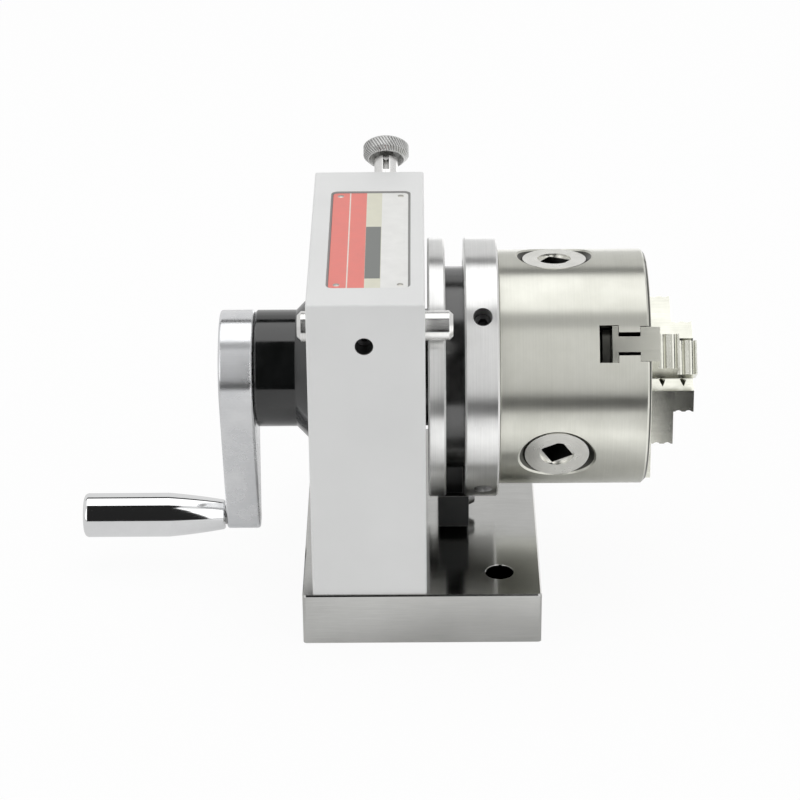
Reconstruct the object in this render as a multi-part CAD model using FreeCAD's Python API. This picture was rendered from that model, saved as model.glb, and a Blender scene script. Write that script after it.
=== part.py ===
import FreeCAD, Part
import math
import os

os.makedirs("parts", exist_ok=True)

# Grinding punch former: a spindle carried across a base, with a three-jaw chuck on its right end,
# an index wheel inside the column and a crank on its left end. Millimetres, +Z up. The origin is on
# the base's bottom face, midway across its width and straight below the spindle; +X runs along the
# spindle towards the chuck, and the operator stands on the -Y side.

# Base and column
base_width = 80.0
base_depth = 120.0
base_height = 18.4
base_front_reach = 57.2
base_corner_radius = 1.2
base_edge_chamfer = 0.5
clamp_hole_diameter = 9.0
clamp_hole_chamfer = 0.35
clamp_hole_x = 26.2
clamp_hole_inset = 15.1
column_left = -36.5
column_width = 38.1
column_setback = 1.0
column_rise = 50.0
column_top_depth = 109.5
column_edge_radius = 0.8
column_screw_radius = 4.0
column_screw_head_radius = 6.5
column_screw_head_height = 8.0
column_screw_reach = 14.0
column_screw_inset_x = 8.5
column_screw_inset_y = 12.0
column_screw_recess = 0.5
dowel_radius = 3.0
dowel_length = 20.0
dowel_inset_y = 26.0
bolt_clearance = 0.2
fit_clearance = 0.01
running_clearance = 0.03
socket_depth_share = 0.5
same_place = 1e-6

# Name plate, bare
plate_width = 25.8
plate_length = 77.8
plate_thickness = 0.4
plate_right_margin = 5.4
plate_front_margin = 13.8
plate_corner_radius = 1.6
plate_gap = 0.12
plate_recess = 0.5
plate_bevel = 0.75
rivet_radius = 0.7
rivet_head_radius = 1.1
rivet_head_height = 0.35
rivet_length = 4.0
rivet_inset = 2.6

# Spindle, bearings and index wheel
tail_radius = 8.0
tail_left = -66.3
rear_journal_radius = 11.0
rear_bush_wall = 5.0
rear_bush_left = -33.3
wheel_seat_radius = 12.5
wheel_center_x = -11.7
wheel_width = 10.0
wheel_radius = 28.0
wheel_bore_shoulder = 16.0
notch_count = 24
notch_width = 3.2
notch_floor_gap = 0.6
cavity_radius = 30.0
wheel_side_gap = 1.0
front_journal_radius = 20.0
key_width = 4.0
key_height = 4.0
key_length = 8.0
flange_radius = 34.4
ring_seat_radius = 29.0
spindle_bore_radius = 8.25
spindle_bore_depth = 43.0
cap_radius = 19.95
cap_left = -56.0
cap_cone_left = -42.2
cap_flange_radius = 25.7
cap_spigot_length = 3.0
cap_bore_clearance = 0.25

# Stop ring, stop dog and stop pin
disc_radius = 44.3
disc_chamfer = 0.6
ring_left = 2.5
ring_width = 5.8
groove_width = 6.4
ring_screw_radius = 1.5
ring_screw_head_radius = 2.8
ring_screw_length = 9.0
ring_screw_count = 6
ring_screw_angle = 30.0
ring_screw_circle = 31.9
dog_head_left = 5.8
dog_head_width = 10.5
dog_head_height = 11.5
dog_base_gap = 0.4
dog_half_width = 16.0
dog_stem_half_width = 10.0
dog_gap = 0.4
dog_angle = -90.0
dog_chamfer = 0.5
dog_screw_radius = 2.0
dog_screw_head_radius = 3.3
dog_screw_head_height = 2.3
dog_screw_length = 9.0
pin_radius = 5.0
pin_disc_gap = 4.5
pin_angle = 40.85
pin_left = -39.9
pin_length = 50.6
pin_chamfer = 1.3
lock_screw_radius = 2.6
lock_screw_length = 4.0
lock_screw_x = -18.0
lock_hole_chamfer = 0.4
lock_socket_flats = 2.5

# Chuck adapter with its radial centring screws
adapter_width = 11.3
adapter_spigot_radius = 26.0
adapter_spigot_length = 9.2
adapter_recess_gap = 0.4
adapter_bore_radius = 18.0
centring_screw_radius = 3.0
centring_screw_x = 20.6
centring_screw_length = 13.0
centring_screw_count = 4
centring_angle = 48.0
centring_socket_flats = 3.0
chuck_screw_radius = 2.5
chuck_screw_head_radius = 4.4
chuck_screw_head_height = 5.0
chuck_screw_reach = 7.5
chuck_screw_circle = 33.0
chuck_screw_count = 3
chuck_screw_angle = 3.0
head_clearance = 0.3

# Three-jaw chuck
chuck_radius = 40.0
chuck_length = 50.1
chuck_rear_chamfer = 0.5
chuck_front_chamfer = 1.4
chuck_bore_radius = 8.0
chuck_tube_radius = 12.0
chuck_mouth_radius = 9.0
cavity_outer_radius = 29.5
cover_width = 4.0
jaw_count = 3
first_jaw_angle = 36.8
slot_rear_x = 58.9
slot_rail_x = 65.3
slot_front_x = 72.3
slot_flange_width = 12.6
slot_rail_gap = 7.8
slot_front_width = 12.0
web_x = 63.0
scroll_pitch = 5.0
scroll_ridge = 1.5
scroll_height = 2.8
scroll_inner_radius = 13.6
scroll_outer_radius = 29.0
scroll_turns = 3
scroll_front_gap = 0.4
gear_inner_radius = 23.0
gear_teeth = 48
pinion_teeth = 12
gear_tooth_height = 1.7
gear_tooth_share = 0.34
pinion_x = 45.3
pinion_pitch_radius = 6.5
pinion_tooth_out = 0.75
pinion_tooth_in = 1.1
pinion_tooth_width = 1.1
pinion_journal_radius = 10.7
pinion_face_radius = 38.5
pinion_gear_reach = 1.0
pinion_mouth_chamfer = 1.7
pinion_socket_flats = 8.0
pinion_socket_depth = 10.0
pinion_socket_mouth_radius = 5.75
pinion_socket_mouth_depth = 0.9
pinion_groove_depth = 1.2
pinion_pin_radius = 1.25
pinion_pin_circle = 34.5
pinion_pin_gap = 0.15

# Jaws
jaw_tip_radius = 4.5
jaw_outer_radius = 39.0
jaw_rear_x = 63.2
jaw_flange_width = 12.3
jaw_flange_gap = 0.15
jaw_neck_width = 5.2
jaw_body_width = 11.6
jaw_base_x = 78.9
jaw_low_x = 86.3
jaw_high_x = 93.2
jaw_low_radius = 26.5
jaw_high_radius = 14.8
jaw_tip_half_angle = 60.0
jaw_tip_flat = 1.2
jaw_flute_width = 2.3
jaw_flute_depth = 0.5
jaw_flutes_per_step = 2
jaw_vee_half_width = 1.1
jaw_vee_root_radius = 5.0
jaw_vee_apex_radius = 7.6
jaw_tooth_width = 1.4
jaw_tooth_tip_gap = 0.35
jaw_closing_travel = 2.5
jaw_tooth_inner_gap = 0.3

# Crank and grip
crank_left = -68.1
crank_right = -56.4
crank_hub_radius = 20.0
crank_end_radius = 4.8
crank_radius = 57.3
crank_edge_radius = 1.0
crank_screw_radius = 3.0
crank_screw_head_radius = 10.0
crank_screw_head_height = 1.6
crank_screw_length = 12.0
crank_key_width = 3.0
crank_key_length = 7.0
grip_left = -118.3
grip_arm_gap = 0.6
grip_taper_x = -88.1
grip_end_radius = 7.2
grip_mid_radius = 6.95
grip_neck_radius = 4.5
grip_taper_bulge = 0.15
grip_dome = 1.4
grip_end_shoulder = 0.5
grip_stud_radius = 2.5
grip_stud_head_radius = 3.9
grip_stud_head_height = 2.5
grip_stud_collar_radius = 3.4
grip_end_recess = 4.0

# Index plunger
plunger_tilt_angle = 52.5
plunger_x = -11.7
plunger_rod_radius = 2.5
plunger_travel = 3.5
plunger_tip_gap = 0.7
plunger_tip_width = 2.9
plunger_tip_length = 4.5
sleeve_radius = 4.15
sleeve_top = 81.3
sleeve_foot_gap = 2.0
sleeve_bore_radius = 3.5
sleeve_neck_length = 8.0
sleeve_slot_width = 2.1
sleeve_slot_depth = 5.6
knob_radius = 8.1
knob_foot = 81.8
knob_length = 5.6
knob_recess_radius = 6.1
knob_recess_depth = 4.0
knob_foot_chamfer = 1.7
knob_top_chamfer = 0.6
cross_pin_radius = 0.9
cross_pin_r = 80.3
cross_pin_half_length = 4.0
collar_radius = 3.3
collar_width = 2.0
collar_r = 52.0
spring_wall = 0.6
spring_gap = 0.2

# Values that follow from the ones above
dog_outer_radius = disc_radius + dog_gap + dog_head_height
dog_screw_circle = disc_radius + dog_gap + dog_head_height / 2
axis_height = base_height + dog_base_gap + dog_outer_radius
column_top = axis_height + column_rise
pin_circle = disc_radius + pin_disc_gap + pin_radius
pin_y = -pin_circle * math.cos(math.radians(pin_angle))
pin_z = axis_height + pin_circle * math.sin(math.radians(pin_angle))
notch_depth = plunger_travel - plunger_tip_gap + notch_floor_gap
grip_right = crank_left - grip_arm_gap
column_right = column_left + column_width
column_front = -base_front_reach + column_setback
column_back = base_depth - base_front_reach - column_setback
base_back = base_depth - base_front_reach
plunger_angle = 90.0 + plunger_tilt_angle
ring_right = ring_left + ring_width
groove_right = ring_right + groove_width
adapter_right = groove_right + adapter_width
chuck_face_x = adapter_right + chuck_length
wheel_left = wheel_center_x - wheel_width / 2
wheel_right = wheel_center_x + wheel_width / 2
cavity_left = wheel_left - wheel_side_gap
front_bush_left = wheel_right + wheel_side_gap
scroll_crest_x = web_x - scroll_front_gap
scroll_face_x = scroll_crest_x - scroll_height
gear_tip_x = pinion_x + pinion_pitch_radius - gear_tooth_height / 2
gear_root_x = gear_tip_x + gear_tooth_height
crank_axis_z = axis_height - crank_radius
X_AXIS = FreeCAD.Vector(1, 0, 0)
Z_AXIS = FreeCAD.Vector(0, 0, 1)
SPINDLE = FreeCAD.Vector(0, 0, axis_height)
margin = 1.0


def at(x, y, z):
    return FreeCAD.Vector(x, y, z)


def box(x_min, x_max, y_min, y_max, z_min, z_max):
    """A box between six planes."""
    return Part.makeBox(x_max - x_min, y_max - y_min, z_max - z_min, at(x_min, y_min, z_min))


def along_x(radius, x_min, x_max, y=0.0, z=axis_height):
    """A cylinder along the spindle direction, on the spindle axis unless a place is given."""
    return Part.makeCylinder(radius, x_max - x_min, at(x_min, y, z), X_AXIS)


def radial(radius, r_min, r_max, x):
    """A cylinder standing on the spindle axis, between two distances from it."""
    return Part.makeCylinder(radius, r_max - r_min, at(x, 0, axis_height + r_min), Z_AXIS)


def turned(outline):
    """Turns a closed outline of (x, radius) points about the spindle axis."""
    points = [at(x, 0, axis_height + r) for x, r in outline]
    face = Part.Face(Part.makePolygon(points + [points[0]]))
    return face.revolve(SPINDLE, X_AXIS, 360)


def to_elevation(shape, elevation):
    """Swings a shape built straight above the spindle to an elevation counted from the front."""
    return shape.rotated(SPINDLE, X_AXIS, 90.0 - elevation)


def radial_box(half_width, r_min, r_max, x_min, x_max):
    """A box straight above the spindle, centred on it."""
    return box(x_min, x_max, -half_width, half_width, axis_height + r_min, axis_height + r_max)


def hexagon(flats, depth, place, direction):
    """A hexagonal socket to be cut, from a face inwards."""
    circumradius = flats / math.sqrt(3)
    corners = [at(circumradius * math.cos(math.radians(60 * i)),
                  circumradius * math.sin(math.radians(60 * i)), 0) for i in range(7)]
    prism = Part.Face(Part.makePolygon(corners)).extrude(at(0, 0, depth))
    prism.Placement = FreeCAD.Placement(place, FreeCAD.Rotation(Z_AXIS, direction))
    return prism


def vertical_edges(shape):
    return [e for e in shape.Edges
            if len(e.Vertexes) == 2
            and abs(e.Vertexes[0].X - e.Vertexes[1].X) < same_place
            and abs(e.Vertexes[0].Y - e.Vertexes[1].Y) < same_place]


def edges_at_height(shape, z):
    return [e for e in shape.Edges
            if abs(e.BoundBox.ZMin - z) < same_place and abs(e.BoundBox.ZMax - z) < same_place]


def ring_of(shape, count, start):
    """Copies of a shape built straight above the spindle, evenly spaced from a first elevation."""
    return [to_elevation(shape, start + 360.0 * i / count) for i in range(count)]


def column_screw_places():
    left = column_left + column_screw_inset_x
    right = column_right - column_screw_inset_x
    front = column_front + column_screw_inset_y
    back = column_back - column_screw_inset_y
    return [(x, y) for x in (left, right) for y in (front, back)]


def dowel_places():
    middle = (column_left + column_right) / 2
    return [(middle, column_front + dowel_inset_y), (middle, column_back - dowel_inset_y)]


def column_screw_seat():
    """Height of the face that the column screws' heads bear on."""
    return column_screw_recess + column_screw_head_height


def upright(radius, x, y, z_min, z_max):
    return Part.makeCylinder(radius, z_max - z_min, at(x, y, z_min), Z_AXIS)


def dowel_foot():
    return base_height - dowel_length / 2


def base_plate():
    plate = box(-base_width / 2, base_width / 2, -base_front_reach, base_back, 0, base_height)
    plate = plate.makeFillet(base_corner_radius, vertical_edges(plate))
    plate = plate.makeChamfer(base_edge_chamfer, edges_at_height(plate, base_height))
    for y in (-base_front_reach + clamp_hole_inset, base_back - clamp_hole_inset):
        hole = upright(clamp_hole_diameter / 2, clamp_hole_x, y, -margin, base_height + margin)
        flare = Part.makeCone(clamp_hole_diameter / 2, clamp_hole_diameter / 2 + clamp_hole_chamfer,
                              clamp_hole_chamfer, at(clamp_hole_x, y, base_height - clamp_hole_chamfer))
        plate = plate.cut(hole).cut(flare)
    for x, y in column_screw_places():
        shank = upright(column_screw_radius + bolt_clearance, x, y, -margin, base_height + margin)
        head = upright(column_screw_head_radius + head_clearance, x, y, -margin, column_screw_seat())
        plate = plate.cut(shank).cut(head)
    for x, y in dowel_places():
        plate = plate.cut(upright(dowel_radius + fit_clearance, x, y, dowel_foot() - fit_clearance,
                                  base_height + margin))
    return plate


def column_screws():
    screws = []
    for x, y in column_screw_places():
        head = upright(column_screw_head_radius, x, y, column_screw_recess, column_screw_seat())
        shank = upright(column_screw_radius, x, y, column_screw_seat(), base_height + column_screw_reach)
        socket = hexagon(column_screw_head_radius, column_screw_head_height * socket_depth_share,
                         at(x, y, column_screw_recess), Z_AXIS)
        screws.append(head.fuse(shank).cut(socket))
    return screws


def dowel_pins():
    return [upright(dowel_radius, x, y, dowel_foot(), dowel_foot() + dowel_length)
            for x, y in dowel_places()]


def chamfer_plane_r():
    """Distance of the column's sloping back face from the spindle axis, along the plunger."""
    edge_y = column_front + column_top_depth
    edge_z = column_top - axis_height
    tilt = math.radians(plunger_tilt_angle)
    return edge_y * math.sin(tilt) + edge_z * math.cos(tilt)


def plate_pocket(grow, z_min, z_max):
    """The name plate's rounded outline, grown by a gap, between two heights."""
    x_max = column_right - plate_right_margin + grow
    x_min = x_max - plate_width - 2 * grow
    y_min = column_front + plate_front_margin - grow
    y_max = y_min + plate_length + 2 * grow
    slab = box(x_min, x_max, y_min, y_max, z_min, z_max)
    return slab.makeFillet(plate_corner_radius + grow, vertical_edges(slab))


def plate_bevel_cutter():
    """The sloping walls that the pocket opens with above the plate."""
    spread = plate_bevel / plate_recess * margin
    foot = plate_outline(plate_gap, column_top - plate_recess)
    mouth = plate_outline(plate_gap + plate_bevel + spread, column_top + margin)
    return Part.makeLoft([foot, mouth], True, True)


def plate_outline(grow, z):
    slab = plate_pocket(grow, z, z + margin)
    return [face for face in slab.Faces if face.BoundBox.ZMax < z + same_place][0].OuterWire


def rivet_places():
    x_max = column_right - plate_right_margin - rivet_inset
    x_min = x_max - plate_width + 2 * rivet_inset
    y_min = column_front + plate_front_margin + rivet_inset
    y_max = y_min + plate_length - 2 * rivet_inset
    return [(x, y) for x in (x_min, x_max) for y in (y_min, y_max)]


def plate_foot():
    return column_top - plate_recess - plate_thickness


def column():
    body = box(column_left, column_right, column_front, column_back, base_height, column_top)
    reach = column_top + base_depth
    behind = radial_box(reach, chamfer_plane_r(), chamfer_plane_r() + reach,
                        column_left - margin, column_right + margin)
    body = body.cut(to_elevation(behind, plunger_angle))
    outer = [e for e in body.Edges if e.BoundBox.ZMin > base_height + margin
             or e.BoundBox.ZMax > base_height + margin]
    body = body.makeFillet(column_edge_radius, outer)
    body = body.cut(along_x(cavity_radius, cavity_left, column_right + margin))
    body = body.cut(along_x(rear_journal_radius + rear_bush_wall, column_left - margin, cavity_left))
    body = body.cut(along_x(pin_radius + running_clearance, column_left - margin, column_right + margin,
                            pin_y, pin_z))
    lock_hole = Part.makeCylinder(lock_screw_radius + bolt_clearance, pin_y - column_front + margin,
                                  at(lock_screw_x, column_front - margin, pin_z), at(0, 1, 0))
    flare = Part.makeCone(lock_screw_radius + bolt_clearance + lock_hole_chamfer,
                          lock_screw_radius + bolt_clearance, lock_hole_chamfer,
                          at(lock_screw_x, column_front, pin_z), at(0, 1, 0))
    body = body.cut(lock_hole).cut(flare)
    plunger_hole = radial(sleeve_radius + fit_clearance, wheel_radius, chamfer_plane_r() + margin, plunger_x)
    body = body.cut(to_elevation(plunger_hole, plunger_angle))
    body = body.cut(plate_pocket(plate_gap, plate_foot(), column_top + margin)).cut(plate_bevel_cutter())
    for x, y in rivet_places():
        body = body.cut(upright(rivet_radius + fit_clearance, x, y, plate_foot() - rivet_length, column_top))
    for x, y in column_screw_places():
        body = body.cut(upright(column_screw_radius + bolt_clearance, x, y, base_height - margin,
                                base_height + column_screw_reach + margin))
    for x, y in dowel_places():
        body = body.cut(upright(dowel_radius + fit_clearance, x, y, base_height - margin,
                                dowel_foot() + dowel_length + fit_clearance))
    return body


def name_plate():
    plate = plate_pocket(0.0, plate_foot(), plate_foot() + plate_thickness)
    for x, y in rivet_places():
        plate = plate.cut(upright(rivet_radius + fit_clearance, x, y, plate_foot() - margin, column_top))
    return plate


def plate_rivets():
    """Drive rivets with low domed heads."""
    seat = plate_foot() + plate_thickness
    dome_radius = (rivet_head_radius ** 2 + rivet_head_height ** 2) / (2 * rivet_head_height)
    rivets = []
    for x, y in rivet_places():
        dome = Part.makeSphere(dome_radius, at(x, y, seat + rivet_head_height - dome_radius))
        dome = dome.common(upright(rivet_head_radius, x, y, seat, seat + rivet_head_height))
        shank = upright(rivet_radius, x, y, plate_foot() - rivet_length, seat)
        rivets.append(dome.fuse(shank))
    return rivets


def bush(bore, wall, x_min, x_max):
    """A plain bearing bush for a journal, a little shorter than its seat."""
    outer = along_x(bore + wall - fit_clearance, x_min, x_max)
    return outer.cut(along_x(bore + running_clearance, x_min - margin, x_max + margin))


def rear_bush():
    return bush(rear_journal_radius, rear_bush_wall, rear_bush_left, cavity_left)


def front_bush():
    return bush(front_journal_radius, cavity_radius - front_journal_radius, front_bush_left, column_right)


def bearing_cap():
    """The turned black cap behind the rear bearing, flared where it meets the column."""
    bore = tail_radius + cap_bore_clearance
    spigot = rear_journal_radius + rear_bush_wall - fit_clearance
    return turned([(cap_left, bore), (cap_left, cap_radius - disc_chamfer),
                   (cap_left + disc_chamfer, cap_radius), (cap_cone_left, cap_radius),
                   (column_left, cap_flange_radius), (column_left, spigot),
                   (column_left + cap_spigot_length, spigot), (column_left + cap_spigot_length, bore)])


def key_cut(grow, half_width, r_foot, height, x_min, length):
    return radial_box(half_width + grow, r_foot - height / 2 - grow, r_foot + height / 2 + grow,
                      x_min - grow, x_min + length + grow)


def wheel_key_shape(grow):
    return key_cut(grow, key_width / 2, wheel_seat_radius, key_height, wheel_center_x - key_length / 2,
                   key_length)


def crank_key_shape(grow):
    return key_cut(grow, crank_key_width / 2, tail_radius, crank_key_width,
                   crank_right - crank_key_length, crank_key_length)


def spindle():
    shoulder = front_bush_left - wheel_side_gap
    body = turned([
        (tail_left, 0), (tail_left, tail_radius), (rear_bush_left, tail_radius),
        (rear_bush_left, rear_journal_radius), (cavity_left, rear_journal_radius),
        (cavity_left, wheel_seat_radius), (shoulder, wheel_seat_radius),
        (shoulder, wheel_bore_shoulder), (front_bush_left, wheel_bore_shoulder),
        (front_bush_left, front_journal_radius), (column_right, front_journal_radius),
        (ring_left, front_journal_radius), (ring_left, ring_seat_radius),
        (ring_right, ring_seat_radius), (ring_right, flange_radius),
        (groove_right, flange_radius), (groove_right, adapter_spigot_radius),
        (groove_right + adapter_spigot_length, adapter_spigot_radius),
        (groove_right + adapter_spigot_length, 0)])
    front = groove_right + adapter_spigot_length
    body = body.cut(along_x(spindle_bore_radius, front - spindle_bore_depth, front + margin))
    body = body.cut(wheel_key_shape(fit_clearance)).cut(crank_key_shape(fit_clearance))
    body = body.cut(along_x(crank_screw_radius + bolt_clearance, tail_left - margin,
                            tail_left + crank_screw_length))
    screw_hole = along_x(ring_screw_radius + bolt_clearance, ring_left,
                         ring_left + ring_screw_length + bolt_clearance, 0,
                         axis_height + ring_screw_circle)
    for hole in ring_of(screw_hole, ring_screw_count, ring_screw_angle):
        body = body.cut(hole)
    return body


def wheel_key():
    return wheel_key_shape(0.0)


def index_wheel():
    """The index wheel: one notch lies under the plunger at rest."""
    wheel = along_x(wheel_radius, wheel_left, wheel_right)
    wheel = wheel.cut(along_x(wheel_seat_radius + fit_clearance, wheel_left - margin, wheel_right + margin))
    notch = radial_box(notch_width / 2, wheel_radius - notch_depth, wheel_radius + margin,
                       wheel_left - margin, wheel_right + margin)
    wheel = wheel.cut(Part.makeCompound(ring_of(notch, notch_count, plunger_angle)))
    return wheel.cut(wheel_key_shape(fit_clearance))


def disc_outline(x_min, x_max, bore):
    return [(x_min, bore), (x_min, disc_radius - disc_chamfer), (x_min + disc_chamfer, disc_radius),
            (x_max - disc_chamfer, disc_radius), (x_max, disc_radius - disc_chamfer), (x_max, bore)]


def countersink(x_min, head_radius, shank_radius, grow):
    """The cone under a flat screw head, its large end at x_min."""
    depth = head_radius - shank_radius
    return Part.makeCone(head_radius + grow, shank_radius + grow, depth,
                         at(x_min, 0, axis_height + ring_screw_circle), X_AXIS)


def stop_ring():
    ring = turned(disc_outline(ring_left, ring_right, ring_seat_radius + fit_clearance))
    hole = along_x(ring_screw_radius + bolt_clearance, ring_left - margin, ring_right + margin, 0,
                   axis_height + ring_screw_circle)
    sink = countersink(ring_left, ring_screw_head_radius, ring_screw_radius, bolt_clearance)
    for cutter in ring_of(hole.fuse(sink), ring_screw_count, ring_screw_angle):
        ring = ring.cut(cutter)
    return ring


def ring_screws():
    shank = along_x(ring_screw_radius, ring_left, ring_left + ring_screw_length, 0,
                    axis_height + ring_screw_circle)
    head = countersink(ring_left, ring_screw_head_radius, ring_screw_radius, 0.0)
    return ring_of(head.fuse(shank), ring_screw_count, ring_screw_angle)


def centring_cutter(radius, r_min, r_max):
    return radial(radius, r_min, r_max, centring_screw_x)


def adapter_plate():
    """The plate that carries the chuck: its recess is wider than the spindle's spigot, so that the
    radial screws can set the chuck true."""
    recess = adapter_spigot_radius + adapter_recess_gap
    recess_x = groove_right + adapter_spigot_length + adapter_recess_gap
    plate = turned(disc_outline(groove_right, adapter_right, adapter_bore_radius))
    plate = plate.cut(along_x(recess, groove_right - margin, recess_x))
    drilling = centring_cutter(centring_screw_radius + bolt_clearance, adapter_bore_radius,
                               disc_radius + margin)
    for hole in ring_of(drilling, centring_screw_count, centring_angle):
        plate = plate.cut(hole)
    place_z = axis_height + chuck_screw_circle
    shank = along_x(chuck_screw_radius + bolt_clearance, groove_right - margin, adapter_right + margin, 0,
                    place_z)
    head = along_x(chuck_screw_head_radius + head_clearance, groove_right - margin, chuck_screw_seat(), 0,
                   place_z)
    for hole in ring_of(shank.fuse(head), chuck_screw_count, chuck_screw_angle):
        plate = plate.cut(hole)
    return plate


def centring_screws():
    """Socket set screws whose inner ends bear on the spindle's spigot."""
    foot = adapter_spigot_radius + fit_clearance
    top = foot + centring_screw_length
    screw = centring_cutter(centring_screw_radius, foot, top)
    socket = hexagon(centring_socket_flats, centring_socket_flats,
                     at(centring_screw_x, 0, axis_height + top - centring_socket_flats), Z_AXIS)
    return ring_of(screw.cut(socket), centring_screw_count, centring_angle)


def chuck_screw_seat():
    return groove_right + head_clearance + chuck_screw_head_height


def chuck_screws():
    place_z = axis_height + chuck_screw_circle
    head = along_x(chuck_screw_head_radius, groove_right + head_clearance, chuck_screw_seat(), 0, place_z)
    shank = along_x(chuck_screw_radius, chuck_screw_seat(), adapter_right + chuck_screw_reach, 0, place_z)
    socket = hexagon(chuck_screw_head_radius, chuck_screw_head_height * socket_depth_share,
                     at(groove_right + head_clearance, 0, place_z), X_AXIS)
    return ring_of(head.fuse(shank).cut(socket), chuck_screw_count, chuck_screw_angle)


def stop_dog():
    """The stop block: a stem in the groove between the two discs and a head that outreaches them."""
    head = along_x(dog_outer_radius, dog_head_left, dog_head_left + dog_head_width)
    head = head.cut(along_x(disc_radius + dog_gap, dog_head_left - margin,
                            dog_head_left + dog_head_width + margin))
    head = head.common(radial_box(dog_half_width, 0, dog_outer_radius, dog_head_left,
                                  dog_head_left + dog_head_width))
    stem = along_x(disc_radius + dog_gap, ring_right + dog_gap, groove_right - dog_gap)
    stem = stem.cut(along_x(flange_radius + dog_gap, ring_right, groove_right))
    stem = stem.common(radial_box(dog_stem_half_width, 0, dog_outer_radius, ring_right, groove_right))
    head = head.makeChamfer(dog_chamfer, [e for e in head.Edges if outward_edge(e)])
    dog = head.fuse(stem).cut(dog_screw_shape(bolt_clearance))
    return to_elevation(dog.removeSplitter(), dog_angle)


def outward_edge(edge):
    """True for the edges of the dog's outer face."""
    reaches = [math.hypot(v.Y, v.Z - axis_height) for v in edge.Vertexes]
    return min(reaches) > dog_outer_radius - same_place


def dog_screw_shape(grow):
    seat = dog_head_left + dog_head_width
    return along_x(dog_screw_radius + grow, seat - dog_screw_length - grow, seat + grow, 0,
                   axis_height + dog_screw_circle)


def dog_screw():
    """The clamp screw of the dog: a low round head on its chuck side."""
    seat = dog_head_left + dog_head_width
    place = at(seat, 0, axis_height + dog_screw_circle)
    head = Part.makeCone(dog_screw_head_radius, dog_screw_head_radius - dog_screw_head_height / 2,
                         dog_screw_head_height, place, X_AXIS)
    socket = hexagon(dog_screw_radius * 2, dog_screw_head_height,
                     place + at(dog_screw_head_height / 2, 0, 0), X_AXIS)
    return to_elevation(head.fuse(dog_screw_shape(0.0)).cut(socket), dog_angle)


def stop_pin():
    """The stop rod goes right through the column, with both ends chamfered."""
    rod = along_x(pin_radius, pin_left, pin_left + pin_length, pin_y, pin_z)
    return rod.makeChamfer(pin_chamfer, [e for e in rod.Edges if e.Closed])


def lock_screw():
    tip_y = pin_y - pin_radius - running_clearance
    screw = Part.makeCylinder(lock_screw_radius, lock_screw_length,
                              at(lock_screw_x, tip_y - lock_screw_length, pin_z), at(0, 1, 0))
    socket = hexagon(lock_socket_flats, lock_socket_flats,
                     at(lock_screw_x, tip_y - lock_screw_length, pin_z), at(0, 1, 0))
    return screw.cut(socket)


def pinion_elevations():
    step = 360.0 / jaw_count
    return [first_jaw_angle + step / 2 + step * i for i in range(jaw_count)]


def jaw_elevations():
    return [first_jaw_angle + 360.0 * i / jaw_count for i in range(jaw_count)]


def chuck_body():
    """The chuck's body with its scroll cavity, pinion bores and stepped jaw slots."""
    rear = adapter_right
    body = turned([(rear, chuck_bore_radius), (rear, chuck_radius - chuck_rear_chamfer),
                   (rear + chuck_rear_chamfer, chuck_radius),
                   (chuck_face_x - chuck_front_chamfer, chuck_radius),
                   (chuck_face_x, chuck_radius - chuck_front_chamfer), (chuck_face_x, chuck_mouth_radius),
                   (web_x, chuck_mouth_radius), (web_x, chuck_bore_radius)])
    cavity = along_x(cavity_outer_radius, rear - margin, web_x)
    cavity = cavity.cut(along_x(chuck_tube_radius, rear + cover_width, web_x + margin))
    body = body.cut(cavity)
    slot = radial_box(slot_flange_width / 2, chuck_tube_radius + margin, chuck_radius + margin,
                      slot_rear_x, slot_rail_x)
    slot = slot.fuse(radial_box(slot_flange_width / 2, 0, chuck_radius + margin, web_x - margin,
                                slot_rail_x))
    slot = slot.fuse(radial_box(slot_rail_gap / 2, 0, chuck_radius + margin, slot_rail_x, slot_front_x))
    slot = slot.fuse(radial_box(slot_front_width / 2, 0, chuck_radius + margin, slot_front_x,
                                chuck_face_x + margin))
    for elevation in jaw_elevations():
        body = body.cut(to_elevation(slot, elevation))
    mouth_r = pinion_face_radius - pinion_mouth_chamfer / 2
    bore = radial(pinion_journal_radius + running_clearance, chuck_tube_radius + margin,
                  chuck_radius + margin, pinion_x)
    mouth = Part.makeCone(pinion_journal_radius + running_clearance,
                          pinion_journal_radius + running_clearance + pinion_mouth_chamfer + margin,
                          pinion_mouth_chamfer + margin, at(pinion_x, 0, axis_height + mouth_r))
    drilling = bore.fuse(mouth).fuse(pinion_pin_shape(fit_clearance))
    for elevation in pinion_elevations():
        body = body.cut(to_elevation(drilling, elevation))
    screw_hole = along_x(chuck_screw_radius + bolt_clearance, rear - margin,
                         rear + chuck_screw_reach + bolt_clearance, 0, axis_height + chuck_screw_circle)
    for hole in ring_of(screw_hole, chuck_screw_count, chuck_screw_angle):
        body = body.cut(hole)
    return body


def chuck_cover():
    """The plate that closes the chuck from behind."""
    cover = along_x(cavity_outer_radius - fit_clearance, adapter_right, adapter_right + cover_width)
    return cover.cut(along_x(chuck_bore_radius, adapter_right - margin, chuck_face_x))


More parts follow.
